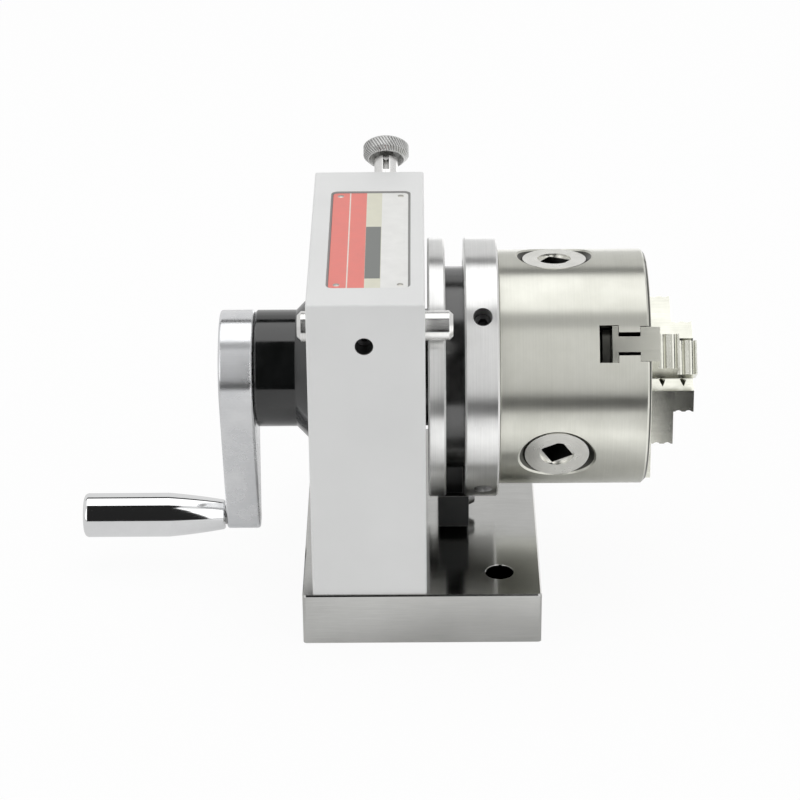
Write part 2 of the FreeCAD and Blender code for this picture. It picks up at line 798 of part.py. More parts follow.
def scroll_ridge_shape():
    """A flat spiral ridge of quarter arcs: each arc's centre is a quarter pitch on from the last."""
    quarter = scroll_pitch / 4
    centre_y = -quarter / 2
    centre_z = axis_height + quarter / 2
    radius = scroll_inner_radius + scroll_ridge + quarter / 2
    ridge = None
    steps = scroll_turns * 4
    moves = [(0, -1), (1, 0), (0, 1), (-1, 0)]
    for i in range(steps):
        ring = Part.makeCylinder(radius, scroll_height, at(scroll_face_x, centre_y, centre_z), X_AXIS)
        ring = ring.cut(Part.makeCylinder(radius - scroll_ridge, scroll_height,
                                          at(scroll_face_x, centre_y, centre_z), X_AXIS))
        side_y, side_z = [(1, 1), (-1, 1), (-1, -1), (1, -1)][i % 4]
        reach = 2 * scroll_outer_radius
        corner = box(scroll_face_x, scroll_crest_x,
                     min(centre_y, centre_y + side_y * reach), max(centre_y, centre_y + side_y * reach),
                     min(centre_z, centre_z + side_z * reach), max(centre_z, centre_z + side_z * reach))
        piece = ring.common(corner)
        ridge = piece if ridge is None else ridge.fuse(piece)
        move_y, move_z = moves[i % 4]
        centre_y += move_y * quarter
        centre_z += move_z * quarter
        radius += quarter
    return ridge.common(along_x(scroll_outer_radius, scroll_face_x, scroll_crest_x))


def scroll_plate():
    """The scroll: a spiral on its front for the jaws and face-gear teeth on its back for the pinions."""
    disc = turned([(gear_root_x, chuck_tube_radius + running_clearance), (gear_root_x, scroll_outer_radius),
                   (scroll_face_x, scroll_outer_radius),
                   (scroll_face_x, chuck_tube_radius + running_clearance)])
    tooth_angle = 360.0 / gear_teeth * gear_tooth_share
    tooth = turned([(gear_tip_x, gear_inner_radius), (gear_tip_x, scroll_outer_radius),
                    (gear_root_x, scroll_outer_radius), (gear_root_x, gear_inner_radius)])
    half = math.tan(math.radians(tooth_angle / 2)) * chuck_radius
    wedge = Part.makePolygon([SPINDLE + at(gear_tip_x, 0, 0), SPINDLE + at(gear_tip_x, half, chuck_radius),
                              SPINDLE + at(gear_tip_x, -half, chuck_radius), SPINDLE + at(gear_tip_x, 0, 0)])
    tooth = tooth.common(Part.Face(wedge).extrude(at(gear_tooth_height, 0, 0)))
    start = pinion_elevations()[0]
    teeth = ring_of(tooth, gear_teeth, start)
    return disc.multiFuse(teeth + [scroll_ridge_shape()])


def pinion_pin_shape(grow):
    """The pin from the chuck's back that keeps a pinion in its bore."""
    edge = pinion_x - pinion_journal_radius + pinion_groove_depth - pinion_pin_gap
    return along_x(pinion_pin_radius + grow, adapter_right, edge, 0, axis_height + pinion_pin_circle)


def pinion_pins():
    return [to_elevation(pinion_pin_shape(0.0), elevation) for elevation in pinion_elevations()]


def pinion():
    """A chuck pinion: a journal with a square socket for the key, and a gear on its inner end."""
    gear_foot = gear_inner_radius
    journal_foot = cavity_outer_radius + pinion_gear_reach
    body = radial(pinion_journal_radius, journal_foot, pinion_face_radius, pinion_x)
    groove_half = pinion_pin_radius + pinion_pin_gap
    groove = radial(pinion_journal_radius + margin, pinion_pin_circle - groove_half,
                    pinion_pin_circle + groove_half, pinion_x)
    groove = groove.cut(radial(pinion_journal_radius - pinion_groove_depth,
                               pinion_pin_circle - groove_half - margin,
                               pinion_pin_circle + groove_half + margin, pinion_x))
    body = body.cut(groove)
    body = body.fuse(radial(pinion_pitch_radius - pinion_tooth_in, gear_foot, journal_foot, pinion_x))
    tip = pinion_pitch_radius + pinion_tooth_out
    tooth = box(pinion_x, pinion_x + tip, -pinion_tooth_width / 2, pinion_tooth_width / 2,
                axis_height + gear_foot, axis_height + journal_foot)
    centre = at(pinion_x, 0, axis_height)
    pitch = 360.0 / pinion_teeth
    teeth = [tooth.rotated(centre, Z_AXIS, pitch * i + pitch / 2) for i in range(pinion_teeth)]
    body = body.multiFuse(teeth)
    half = pinion_socket_flats / 2
    socket = box(pinion_x - half, pinion_x + half, -half, half,
                 axis_height + pinion_face_radius - pinion_socket_depth,
                 axis_height + pinion_face_radius + margin)
    mouth = radial(pinion_socket_mouth_radius, pinion_face_radius - pinion_socket_mouth_depth,
                   pinion_face_radius + margin, pinion_x)
    return body.cut(socket).cut(mouth)


def ridge_radius(elevation):
    """Middle radius of the scroll's first turn where a jaw at this elevation crosses it."""
    turn = ((180.0 - elevation) % 360.0) / 360.0
    return scroll_inner_radius + scroll_ridge / 2 + scroll_pitch * turn


def jaw_outline():
    """The jaw's side view above its neck: base, low step and high step."""
    neck_x = slot_front_x + jaw_flange_gap
    points = [(neck_x, jaw_tip_radius), (jaw_high_x, jaw_tip_radius), (jaw_high_x, jaw_high_radius),
              (jaw_low_x, jaw_high_radius), (jaw_low_x, jaw_low_radius), (jaw_base_x, jaw_low_radius),
              (jaw_base_x, jaw_outer_radius), (neck_x, jaw_outer_radius)]
    return [at(x, 0, axis_height + r) for x, r in points]


def jaw_flute(x, r):
    """A hollow flute across the outward face of a step."""
    flute_radius = (jaw_flute_width ** 2 / 4 + jaw_flute_depth ** 2) / (2 * jaw_flute_depth)
    centre = at(x, -jaw_body_width, axis_height + r - jaw_flute_depth + flute_radius)
    return Part.makeCylinder(flute_radius, 2 * jaw_body_width, centre, at(0, 1, 0))


def jaw_vee(x):
    """A vee groove round the spindle axis, which nicks the tips of the jaws."""
    return turned([(x - jaw_vee_half_width, 0), (x - jaw_vee_half_width, jaw_vee_root_radius),
                   (x, jaw_vee_apex_radius), (x + jaw_vee_half_width, jaw_vee_root_radius),
                   (x + jaw_vee_half_width, 0)])


def jaw(elevation):
    """A stepped jaw with its neck between the slot's rails and arc teeth in the scroll."""
    points = jaw_outline()
    face = Part.Face(Part.makePolygon(points + [points[0]]))
    face.translate(at(0, -jaw_body_width / 2, 0))
    body = face.extrude(at(0, jaw_body_width, 0))
    steps = [(jaw_base_x, jaw_low_x, jaw_low_radius), (jaw_low_x, jaw_high_x, jaw_high_radius)]
    for x_min, x_max, r in steps:
        spacing = (x_max - x_min) / jaw_flutes_per_step
        for i in range(jaw_flutes_per_step):
            body = body.cut(jaw_flute(x_min + spacing * (i + 1) - spacing / 2, r))
        body = body.cut(jaw_vee((x_min + x_max) / 2))
    flange_x = slot_rail_x - jaw_flange_gap
    body = body.fuse(radial_box(jaw_neck_width / 2, jaw_tip_radius, jaw_outer_radius, flange_x,
                                slot_front_x + jaw_flange_gap))
    body = body.fuse(radial_box(jaw_flange_width / 2, jaw_tip_radius, jaw_outer_radius, jaw_rear_x,
                                flange_x))
    ridge = ridge_radius(elevation)
    tooth_r = ridge - scroll_pitch / 2
    tooth_foot = scroll_face_x + jaw_tooth_tip_gap
    while tooth_r + jaw_tooth_width < jaw_outer_radius:
        if tooth_r - jaw_tooth_width / 2 - jaw_closing_travel > chuck_tube_radius + jaw_tooth_inner_gap:
            arc = along_x(tooth_r + jaw_tooth_width / 2, tooth_foot, jaw_rear_x)
            arc = arc.cut(along_x(tooth_r - jaw_tooth_width / 2, tooth_foot - margin, jaw_rear_x + margin))
            body = body.fuse(arc.common(radial_box(jaw_body_width / 2, 0, chuck_radius, tooth_foot,
                                                   jaw_rear_x)))
        tooth_r += scroll_pitch
    apex = jaw_tip_radius - jaw_tip_flat / math.tan(math.radians(jaw_tip_half_angle))
    reach = 2 * chuck_radius
    spread = reach * math.tan(math.radians(jaw_tip_half_angle))
    wedge = Part.makePolygon([at(tooth_foot - margin, 0, axis_height + apex),
                              at(tooth_foot - margin, spread, axis_height + apex + reach),
                              at(tooth_foot - margin, -spread, axis_height + apex + reach),
                              at(tooth_foot - margin, 0, axis_height + apex)])
    body = body.common(Part.Face(wedge).extrude(at(jaw_high_x, 0, 0)))
    return to_elevation(body, elevation)


def crank_arm():
    """A tapered arm: a large round hub, a small round end, and straight flanks tangent to both."""
    lean = math.asin((crank_hub_radius - crank_end_radius) / crank_radius)
    hub_y = crank_hub_radius * math.cos(lean)
    hub_z = axis_height - crank_hub_radius * math.sin(lean)
    end_y = crank_end_radius * math.cos(lean)
    end_z = crank_axis_z - crank_end_radius * math.sin(lean)
    top = at(crank_left, 0, axis_height + crank_hub_radius)
    foot = at(crank_left, 0, crank_axis_z - crank_end_radius)
    outline = Part.Wire([
        Part.Arc(at(crank_left, hub_y, hub_z), top, at(crank_left, -hub_y, hub_z)).toShape(),
        Part.makeLine(at(crank_left, -hub_y, hub_z), at(crank_left, -end_y, end_z)),
        Part.Arc(at(crank_left, -end_y, end_z), foot, at(crank_left, end_y, end_z)).toShape(),
        Part.makeLine(at(crank_left, end_y, end_z), at(crank_left, hub_y, hub_z))])
    arm = Part.Face(outline).extrude(at(crank_right - crank_left, 0, 0))
    rims = [e for e in arm.Edges if abs(e.BoundBox.XMax - e.BoundBox.XMin) < same_place]
    arm = arm.makeFillet(crank_edge_radius, rims)
    arm = arm.cut(along_x(tail_radius + fit_clearance, crank_left - margin, crank_right + margin))
    recess_x = crank_left + crank_screw_head_height + fit_clearance
    arm = arm.cut(along_x(crank_screw_head_radius + head_clearance, crank_left - margin, recess_x))
    arm = arm.cut(crank_key_shape(fit_clearance))
    stud_hole = along_x(grip_stud_radius + fit_clearance, crank_left - margin, crank_right + margin, 0,
                        crank_axis_z)
    return arm.cut(stud_hole)


def crank_key():
    return crank_key_shape(0.0)


def crank_screw():
    """The wide-headed screw that holds the crank on the spindle's tail, flush with the arm."""
    head = along_x(crank_screw_head_radius, crank_left, crank_left + crank_screw_head_height)
    shank = along_x(crank_screw_radius, crank_left + crank_screw_head_height,
                    tail_left + crank_screw_length - bolt_clearance)
    socket = hexagon(crank_screw_radius, crank_screw_radius, at(crank_left, 0, axis_height), X_AXIS)
    return head.fuse(shank).cut(socket)


def grip_stud():
    """The stud that the grip turns on: its collar spaces the grip off the arm."""
    stud = along_x(grip_stud_radius, grip_left + grip_end_recess - grip_stud_head_height, crank_right, 0,
                   crank_axis_z)
    collar = along_x(grip_stud_collar_radius, grip_right + running_clearance, crank_left, 0, crank_axis_z)
    head_left = grip_left + grip_end_recess - grip_stud_head_height - running_clearance
    head = along_x(grip_stud_head_radius, head_left, head_left + grip_stud_head_height, 0, crank_axis_z)
    return stud.fuse(collar).fuse(head)


def crank_grip():
    """The turned grip: nearly straight at its free end, then tapering to the neck at the arm."""
    start = at(grip_left + grip_dome, 0, crank_axis_z + grip_end_radius)
    tip = at(grip_left, 0, crank_axis_z + grip_stud_head_radius + head_clearance)
    shoulder = at(grip_left + grip_end_shoulder, 0, crank_axis_z + grip_end_radius - grip_end_shoulder)
    taper = at(grip_taper_x, 0, crank_axis_z + grip_mid_radius)
    middle = at((grip_taper_x + grip_right) / 2, 0,
                crank_axis_z + (grip_mid_radius + grip_neck_radius) / 2 + grip_taper_bulge)
    neck = at(grip_right, 0, crank_axis_z + grip_neck_radius)
    outline = Part.Wire([
        Part.makeLine(at(grip_left, 0, crank_axis_z), tip),
        Part.Arc(tip, shoulder, start).toShape(),
        Part.makeLine(start, taper),
        Part.Arc(taper, middle, neck).toShape(),
        Part.makeLine(neck, at(grip_right, 0, crank_axis_z)),
        Part.makeLine(at(grip_right, 0, crank_axis_z), at(grip_left, 0, crank_axis_z))])
    grip = Part.Face(outline).revolve(at(0, 0, crank_axis_z), X_AXIS, 360)
    bore = along_x(grip_stud_radius + running_clearance, grip_left - margin, grip_right + margin, 0,
                   crank_axis_z)
    recess = along_x(grip_stud_head_radius + head_clearance, grip_left - margin,
                     grip_left + grip_end_recess, 0, crank_axis_z)
    return grip.cut(bore).cut(recess)


def sleeve_foot():
    return cavity_radius + sleeve_foot_gap


def sleeve_neck_r():
    return sleeve_top - sleeve_slot_depth - sleeve_neck_length


def plunger_sleeve():
    """The plunger's sleeve, split at its top for the cross pin; its neck guides the rod."""
    sleeve = radial(sleeve_radius, sleeve_foot(), sleeve_top, plunger_x)
    guide = plunger_rod_radius + running_clearance
    sleeve = sleeve.cut(radial(guide, sleeve_foot() - margin, sleeve_top + margin, plunger_x))
    chamber = radial(sleeve_bore_radius, sleeve_foot() + sleeve_neck_length, sleeve_neck_r(), plunger_x)
    sleeve = sleeve.cut(chamber)
    slot = radial_box(sleeve_radius + margin, sleeve_top - sleeve_slot_depth, sleeve_top + margin,
                      plunger_x - sleeve_slot_width / 2, plunger_x + sleeve_slot_width / 2)
    return to_elevation(sleeve.cut(slot), plunger_angle)


def index_plunger():
    """The plunger rod with a flat-sided tip that fits one notch of the index wheel."""
    tip_r = wheel_radius + plunger_tip_gap
    rod = radial(plunger_rod_radius, tip_r + plunger_tip_length, knob_foot + knob_length - margin, plunger_x)
    tip = radial(plunger_rod_radius, tip_r, tip_r + plunger_tip_length, plunger_x)
    tip = tip.common(radial_box(plunger_tip_width / 2, tip_r, tip_r + plunger_tip_length,
                                plunger_x - plunger_rod_radius, plunger_x + plunger_rod_radius))
    collar = radial(collar_radius, collar_r, collar_r + collar_width, plunger_x)
    rod = rod.fuse(tip).fuse(collar).cut(cross_pin_shape(fit_clearance))
    return to_elevation(rod, plunger_angle)


def cross_pin_shape(grow):
    return Part.makeCylinder(cross_pin_radius + grow, cross_pin_half_length * 2,
                             at(plunger_x, -cross_pin_half_length, axis_height + cross_pin_r), at(0, 1, 0))


def cross_pin():
    return to_elevation(cross_pin_shape(0.0), plunger_angle)


def plunger_knob():
    """The knob, hollow underneath so that it drops over the sleeve."""
    top = knob_foot + knob_length
    outline = [(0, knob_foot), (knob_radius - knob_foot_chamfer, knob_foot),
               (knob_radius, knob_foot + knob_foot_chamfer), (knob_radius, top - knob_top_chamfer),
               (knob_radius - knob_top_chamfer, top), (0, top)]
    points = [at(plunger_x + x, 0, axis_height + r) for x, r in outline]
    knob = Part.Face(Part.makePolygon(points + [points[0]])).revolve(at(plunger_x, 0, 0), Z_AXIS, 360)
    knob = knob.cut(radial(knob_recess_radius, knob_foot - margin, knob_foot + knob_recess_depth, plunger_x))
    knob = knob.cut(radial(plunger_rod_radius + fit_clearance, knob_foot, top - margin + fit_clearance,
                           plunger_x))
    return to_elevation(knob, plunger_angle)


def plunger_spring():
    """The room that the coil spring takes between the rod's collar and the sleeve's neck."""
    foot = collar_r + collar_width + spring_gap
    outer = sleeve_bore_radius - spring_gap
    coil = radial(outer, foot, sleeve_neck_r() - spring_gap, plunger_x)
    inner = radial(outer - spring_wall, foot - margin, sleeve_neck_r() + margin, plunger_x)
    return to_elevation(coil.cut(inner), plunger_angle)


def save(name, shape):
    solids = shape if isinstance(shape, list) else [shape]
    solids = [solid for item in solids for solid in item.Solids]
    for solid in solids:
        if not solid.isValid():
            print("not valid:", name)
    whole = solids[0] if len(solids) == 1 else Part.makeCompound(solids)
    whole.exportStep("parts/" + name + ".step")
    print(name, len(solids), round(whole.Volume, 1))


SUBPARTS = {
    "base_plate": base_plate,
    "column": column,
    "column_screws": column_screws,
    "dowel_pins": dowel_pins,
    "name_plate": name_plate,
    "plate_rivets": plate_rivets,
    "rear_bush": rear_bush,
    "front_bush": front_bush,
    "bearing_cap": bearing_cap,
    "lock_screw": lock_screw,
    "plunger_sleeve": plunger_sleeve,
    "plunger_spring": plunger_spring,
    "spindle": spindle,
    "wheel_key": wheel_key,
    "index_wheel": index_wheel,
    "stop_ring": stop_ring,
    "ring_screws": ring_screws,
    "adapter_plate": adapter_plate,
    "centring_screws": centring_screws,
    "chuck_screws": chuck_screws,
    "chuck_body": chuck_body,
    "chuck_cover": chuck_cover,
    "pinion_pins": pinion_pins,
    "crank_arm": crank_arm,
    "crank_key": crank_key,
    "crank_screw": crank_screw,
    "grip_stud": grip_stud,
    "crank_grip": crank_grip,
    "stop_dog": stop_dog,
    "dog_screw": dog_screw,
    "stop_pin": stop_pin,
    "index_plunger": index_plunger,
    "cross_pin": cross_pin,
    "plunger_knob": plunger_knob,
    "scroll_plate": scroll_plate,
}

for node, make in SUBPARTS.items():
    save(node, make())
for number, place in enumerate(pinion_elevations(), start=1):
    save("pinion_%d" % number, to_elevation(pinion(), place))
for number, place in enumerate(jaw_elevations(), start=1):
    save("jaw_%d" % number, jaw(place))
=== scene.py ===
import math

import bmesh
import bpy
from mathutils import Matrix, Vector


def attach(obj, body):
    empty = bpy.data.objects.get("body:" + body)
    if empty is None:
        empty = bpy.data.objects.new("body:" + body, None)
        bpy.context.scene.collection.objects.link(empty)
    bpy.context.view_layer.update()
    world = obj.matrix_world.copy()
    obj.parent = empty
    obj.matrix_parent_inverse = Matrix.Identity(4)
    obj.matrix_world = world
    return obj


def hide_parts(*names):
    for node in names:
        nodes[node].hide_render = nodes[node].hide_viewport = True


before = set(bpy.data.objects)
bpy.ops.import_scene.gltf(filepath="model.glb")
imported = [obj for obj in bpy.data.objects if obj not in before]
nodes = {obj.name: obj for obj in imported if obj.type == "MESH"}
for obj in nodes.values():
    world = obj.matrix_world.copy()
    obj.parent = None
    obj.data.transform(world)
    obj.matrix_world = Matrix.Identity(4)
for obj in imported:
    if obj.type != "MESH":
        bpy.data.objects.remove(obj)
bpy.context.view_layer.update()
print("frame loaded:", len(nodes), "nodes")

mm = 0.001
spindleHeight = 75 * mm


# The camera stands where the photograph was taken from.
view = {
    "place": (0.4165 * mm, -882.7506 * mm, 514.2543 * mm),
    "pitchDown": 0.473127,
    "yaw": -0.008559,
    "roll": -0.010676,
    "lens": 129.685,
    "sensor": 36.0,
}


def setCamera():
    cam = bpy.data.cameras.new("camera")
    cam.lens = view["lens"]
    cam.sensor_width = view["sensor"]
    cam.clip_end = 20
    obj = bpy.data.objects.new("camera", cam)
    bpy.context.scene.collection.objects.link(obj)
    obj.matrix_world = (Matrix.Translation(view["place"])
                        @ Matrix.Rotation(-view["yaw"], 4, "Z")
                        @ Matrix.Rotation(math.pi / 2 - view["pitchDown"], 4, "X")
                        @ Matrix.Rotation(view["roll"], 4, "Z"))
    bpy.context.scene.camera = obj


def addNode(tree, kind, label="", **settings):
    node = tree.nodes.new(kind)
    node.label = label
    for key, value in settings.items():
        setattr(node, key, value)
    return node


def feed(tree, value, socket):      # a number, a vector or another node's output
    if isinstance(value, bpy.types.NodeSocket):
        tree.links.new(value, socket)
    else:
        socket.default_value = value


def calc(tree, operation, first, second=0.0, label=""):
    node = addNode(tree, "ShaderNodeMath", label, operation=operation)
    feed(tree, first, node.inputs[0])
    feed(tree, second, node.inputs[1])
    return node.outputs[0]


def noise(tree, vector, scale, detail=2.0, roughness=0.5, label=""):
    node = addNode(tree, "ShaderNodeTexNoise", label)
    feed(tree, vector, node.inputs["Vector"])
    node.inputs["Scale"].default_value = scale
    node.inputs["Detail"].default_value = detail
    node.inputs["Roughness"].default_value = roughness
    return node.outputs["Fac"]


def remap(tree, value, low, high, toLow, toHigh, label=""):
    node = addNode(tree, "ShaderNodeMapRange", label)
    feed(tree, value, node.inputs["Value"])
    node.inputs["From Min"].default_value = low
    node.inputs["From Max"].default_value = high
    node.inputs["To Min"].default_value = toLow
    node.inputs["To Max"].default_value = toHigh
    return node.outputs["Result"]


def mixColour(tree, share, first, second, blend="MIX", label=""):
    node = addNode(tree, "ShaderNodeMix", label, data_type="RGBA", blend_type=blend)
    feed(tree, share, node.inputs[0])
    feed(tree, first, node.inputs[6])
    feed(tree, second, node.inputs[7])
    return node.outputs[2]


def rgb(colour):
    return (colour[0], colour[1], colour[2], 1.0)


def shade(colour, factor):
    return tuple(min(1.0, c * factor) for c in colour)


def startMaterial(name):
    mat = bpy.data.materials.new(name)
    mat.use_nodes = True
    return mat, mat.node_tree, mat.node_tree.nodes["Principled BSDF"]


def placedCoords(tree, centre, turn):      # X runs along the piece's own axis
    coords = addNode(tree, "ShaderNodeTexCoord")
    mapping = addNode(tree, "ShaderNodeMapping", "own axis", vector_type="TEXTURE")
    mapping.inputs["Location"].default_value = centre
    mapping.inputs["Rotation"].default_value = turn
    feed(tree, coords.outputs["Object"], mapping.inputs["Vector"])
    return mapping.outputs["Vector"]


def splitAxes(tree, vector):
    node = addNode(tree, "ShaderNodeSeparateXYZ")
    feed(tree, vector, node.inputs[0])
    return node.outputs[0], node.outputs[1], node.outputs[2]


def joinAxes(tree, x, y, z):
    node = addNode(tree, "ShaderNodeCombineXYZ")
    for value, socket in zip((x, y, z), node.inputs):
        feed(tree, value, socket)
    return node.outputs[0]


def edgeMask(tree, width, strength=6.0):      # 1 on sharp edges, 0 on flat faces
    bevel = addNode(tree, "ShaderNodeBevel", "edge", samples=4)
    bevel.inputs["Radius"].default_value = width
    geometry = addNode(tree, "ShaderNodeNewGeometry")
    dot = addNode(tree, "ShaderNodeVectorMath", operation="DOT_PRODUCT")
    feed(tree, bevel.outputs[0], dot.inputs[0])
    feed(tree, geometry.outputs["Normal"], dot.inputs[1])
    gap = calc(tree, "SUBTRACT", 1.0, dot.outputs["Value"])
    mask = calc(tree, "MULTIPLY", gap, strength, "edge wear")
    mask.node.use_clamp = True
    return mask


def within(tree, first, second, spot, radius):      # 1 inside a round hole, 0 outside it
    reachFirst = calc(tree, "SUBTRACT", first, spot[0])
    reachSecond = calc(tree, "SUBTRACT", second, spot[1])
    squares = calc(tree, "ADD", calc(tree, "MULTIPLY", reachFirst, reachFirst),
                   calc(tree, "MULTIPLY", reachSecond, reachSecond))
    return calc(tree, "LESS_THAN", squares, radius * radius, "inside the hole")


def roughen(tree, shader, height, strength, depth, label=""):      # fine relief of the surface
    bump = addNode(tree, "ShaderNodeBump", label)
    bump.inputs["Strength"].default_value = strength
    bump.inputs["Distance"].default_value = depth
    feed(tree, height, bump.inputs["Height"])
    feed(tree, bump.outputs[0], shader.inputs["Normal"])


noiseSpan = (0.3, 0.7)       # a noise texture hardly leaves this range
cloudSpan = (0.35, 0.7)

metalDefaults = {
    "colour": (0.60, 0.60, 0.59),
    "tint": (0.50, 0.50, 0.48),      # colour of the cloudier patches
    "roughness": 0.25,
    "roughnessSpread": 0.08,
    "grain": "round",                # round: turned about X, straight: ground along X
    "scatter": (0.0, 1.0, 1.0),      # way in which a straight grain spreads its gloss
    "holes": (),                     # bored places along Z, darkened inside with painted shade: (x, y, radius, top)
    "inside": None,                  # inner walls darkened with painted shade: closer to the axis than the first, behind the second
    "lineSpacing": 0.35 * mm,
    "lineDepth": 0.010 * mm,
    "lineShade": 0.10,
    "patch": 16 * mm,
    "anisotropy": 0.6,
    "centre": (0.0, 0.0, spindleHeight),
    "turn": (0.0, 0.0, 0.0),
    "edgeWidth": 0.25 * mm,
    "edgeShade": 1.25,
    # painted shade inside the bored holes
    "paintedBoreShade": (0.02, 0.02, 0.02),
    "paintedInnerShade": 0.15,                # painted shade of the inner walls, against the tint
}


def metal(name, **changes):
    look = dict(metalDefaults, **changes)
    mat, tree, shader = startMaterial(name)
    coords = placedCoords(tree, look["centre"], look["turn"])
    x, y, z = splitAxes(tree, coords)
    flat = joinAxes(tree, 0.0, y, z)
    reach = addNode(tree, "ShaderNodeVectorMath", "distance from the axis", operation="LENGTH")
    feed(tree, flat, reach.inputs[0])
    if look["grain"] == "round":
        angle = calc(tree, "ARCTAN2", z, y, "angle about the axis")
        spread = calc(tree, "MULTIPLY", angle, look["lineSpacing"] * 1.5)
        lineCoords = joinAxes(tree, x, reach.outputs["Value"], spread)
        outward = addNode(tree, "ShaderNodeVectorMath", operation="NORMALIZE")
        feed(tree, flat, outward.inputs[0])
        lean = addNode(tree, "ShaderNodeVectorMath", "scatter across the turning lines", operation="ADD")
        feed(tree, outward.outputs[0], lean.inputs[0])
        lean.inputs[1].default_value = (1.0, 0.0, 0.0)
        tangent = lean.outputs[0]
    else:
        lineCoords = joinAxes(tree, calc(tree, "MULTIPLY", x, 0.02), y, z)
        steady = addNode(tree, "ShaderNodeCombineXYZ", "scatter of the grinding lines")
        for socket, part in zip(steady.inputs, look["scatter"]):
            socket.default_value = part
        tangent = steady.outputs[0]
    turnBack = addNode(tree, "ShaderNodeVectorRotate", "back to the part's axes", rotation_type="EULER_XYZ")
    feed(tree, tangent, turnBack.inputs["Vector"])
    turnBack.inputs["Rotation"].default_value = look["turn"]
    toWorld = addNode(tree, "ShaderNodeVectorTransform", vector_type="VECTOR",
                      convert_from="OBJECT", convert_to="WORLD")
    feed(tree, turnBack.outputs[0], toWorld.inputs[0])
    feed(tree, toWorld.outputs[0], shader.inputs["Tangent"])

    lines = noise(tree, lineCoords, 1.0 / look["lineSpacing"], 3.0, 0.65, "tool lines")
    patches = noise(tree, coords, 1.0 / look["patch"], 4.0, 0.6, "cloudy patches")
    colour = mixColour(tree, remap(tree, patches, *cloudSpan, 0.0, 1.0),
                       rgb(look["colour"]), rgb(look["tint"]), label="cloudy colour")
    lineTone = remap(tree, lines, *noiseSpan, 1.0 - look["lineShade"], 1.0)
    toneColour = joinAxes(tree, lineTone, lineTone, lineTone)
    colour = mixColour(tree, 1.0, colour, toneColour, "MULTIPLY", "tool line shade")
    if look["edgeWidth"]:
        mask = edgeMask(tree, look["edgeWidth"])
        worn = rgb(shade(look["colour"], look["edgeShade"]))
        colour = mixColour(tree, mask, colour, worn, label="edge wear")
    # Bored holes get painted shade: their inner walls are coloured near black.
    for holeX, holeY, radius, top in look["holes"]:
        bored = calc(tree, "MULTIPLY", within(tree, x, y, (holeX, holeY), radius),
                     calc(tree, "LESS_THAN", z, top))
        colour = mixColour(tree, bored, colour, rgb(look["paintedBoreShade"]), label="painted bore shade")
    # Inner walls deep in slots and sockets get painted shade.
    if look["inside"]:
        inner = calc(tree, "MULTIPLY", calc(tree, "LESS_THAN", reach.outputs["Value"], look["inside"][0]),
                     calc(tree, "LESS_THAN", x, look["inside"][1]))
        colour = mixColour(tree, inner, colour, rgb(shade(look["tint"], look["paintedInnerShade"])), label="painted shade on inner walls")
    feed(tree, colour, shader.inputs["Base Color"])
    shader.inputs["Metallic"].default_value = 1.0
    rough = remap(tree, patches, *noiseSpan, look["roughness"] - look["roughnessSpread"] / 2,
                  look["roughness"] + look["roughnessSpread"] / 2)
    feed(tree, rough, shader.inputs["Roughness"])
    shader.inputs["Anisotropic"].default_value = look["anisotropy"]
    roughen(tree, shader, lines, 0.6, look["lineDepth"], "tool line bump")
    return mat


paintLook = {
    "colour": (0.80, 0.805, 0.80),
    "tint": (0.75, 0.755, 0.75),
    "patch": 40 * mm,
    "roughness": 0.38,
    "roughnessSpread": 0.05,
    "peel": 0.9 * mm,
    "peelDepth": 0.012 * mm,
    "worn": (0.87, 0.87, 0.86),
    "wear": 0.6,
    "edge": 0.5 * mm,
    "lockHole": (-18.0 * mm, 110.2 * mm),
    "lockHoleRadius": 2.95 * mm,
    "lockHoleDepths": (-56.1 * mm, -30 * mm),
    # painted shade inside the lock screw's hole
    "paintedBoreShade": (0.02, 0.02, 0.02),
    # bare walls of the pocket, coloured darker as painted shade
    "pocketWallPaintedShade": (0.24, 0.24, 0.235),
    "pocketCentre": (-16.7 * mm, -3.5 * mm),
    "pocketHalf": (13.8 * mm, 39.8 * mm),
    "pocketHeights": (124.0 * mm, 124.93 * mm),
}


def boreShadeMask(tree, x, y, z):      # the drilled hole for the lock screw, darkened inside with painted shade
    deep = calc(tree, "MULTIPLY", calc(tree, "GREATER_THAN", y, paintLook["lockHoleDepths"][0]),
                calc(tree, "LESS_THAN", y, paintLook["lockHoleDepths"][1]))
    return calc(tree, "MULTIPLY", within(tree, x, z, paintLook["lockHole"], paintLook["lockHoleRadius"]), deep)


def pocketWallShadeMask(tree, x, y, z):      # the bare walls of the name plate's pocket, coloured darker as painted shade
    mask = calc(tree, "LESS_THAN", z, paintLook["pocketHeights"][1], "below the top face")
    mask = calc(tree, "MULTIPLY", mask, calc(tree, "GREATER_THAN", z, paintLook["pocketHeights"][0]))
    for place, centre, half in zip((x, y), paintLook["pocketCentre"], paintLook["pocketHalf"]):
        off = calc(tree, "ABSOLUTE", calc(tree, "SUBTRACT", place, centre))
        mask = calc(tree, "MULTIPLY", mask, calc(tree, "LESS_THAN", off, half))
    return mask


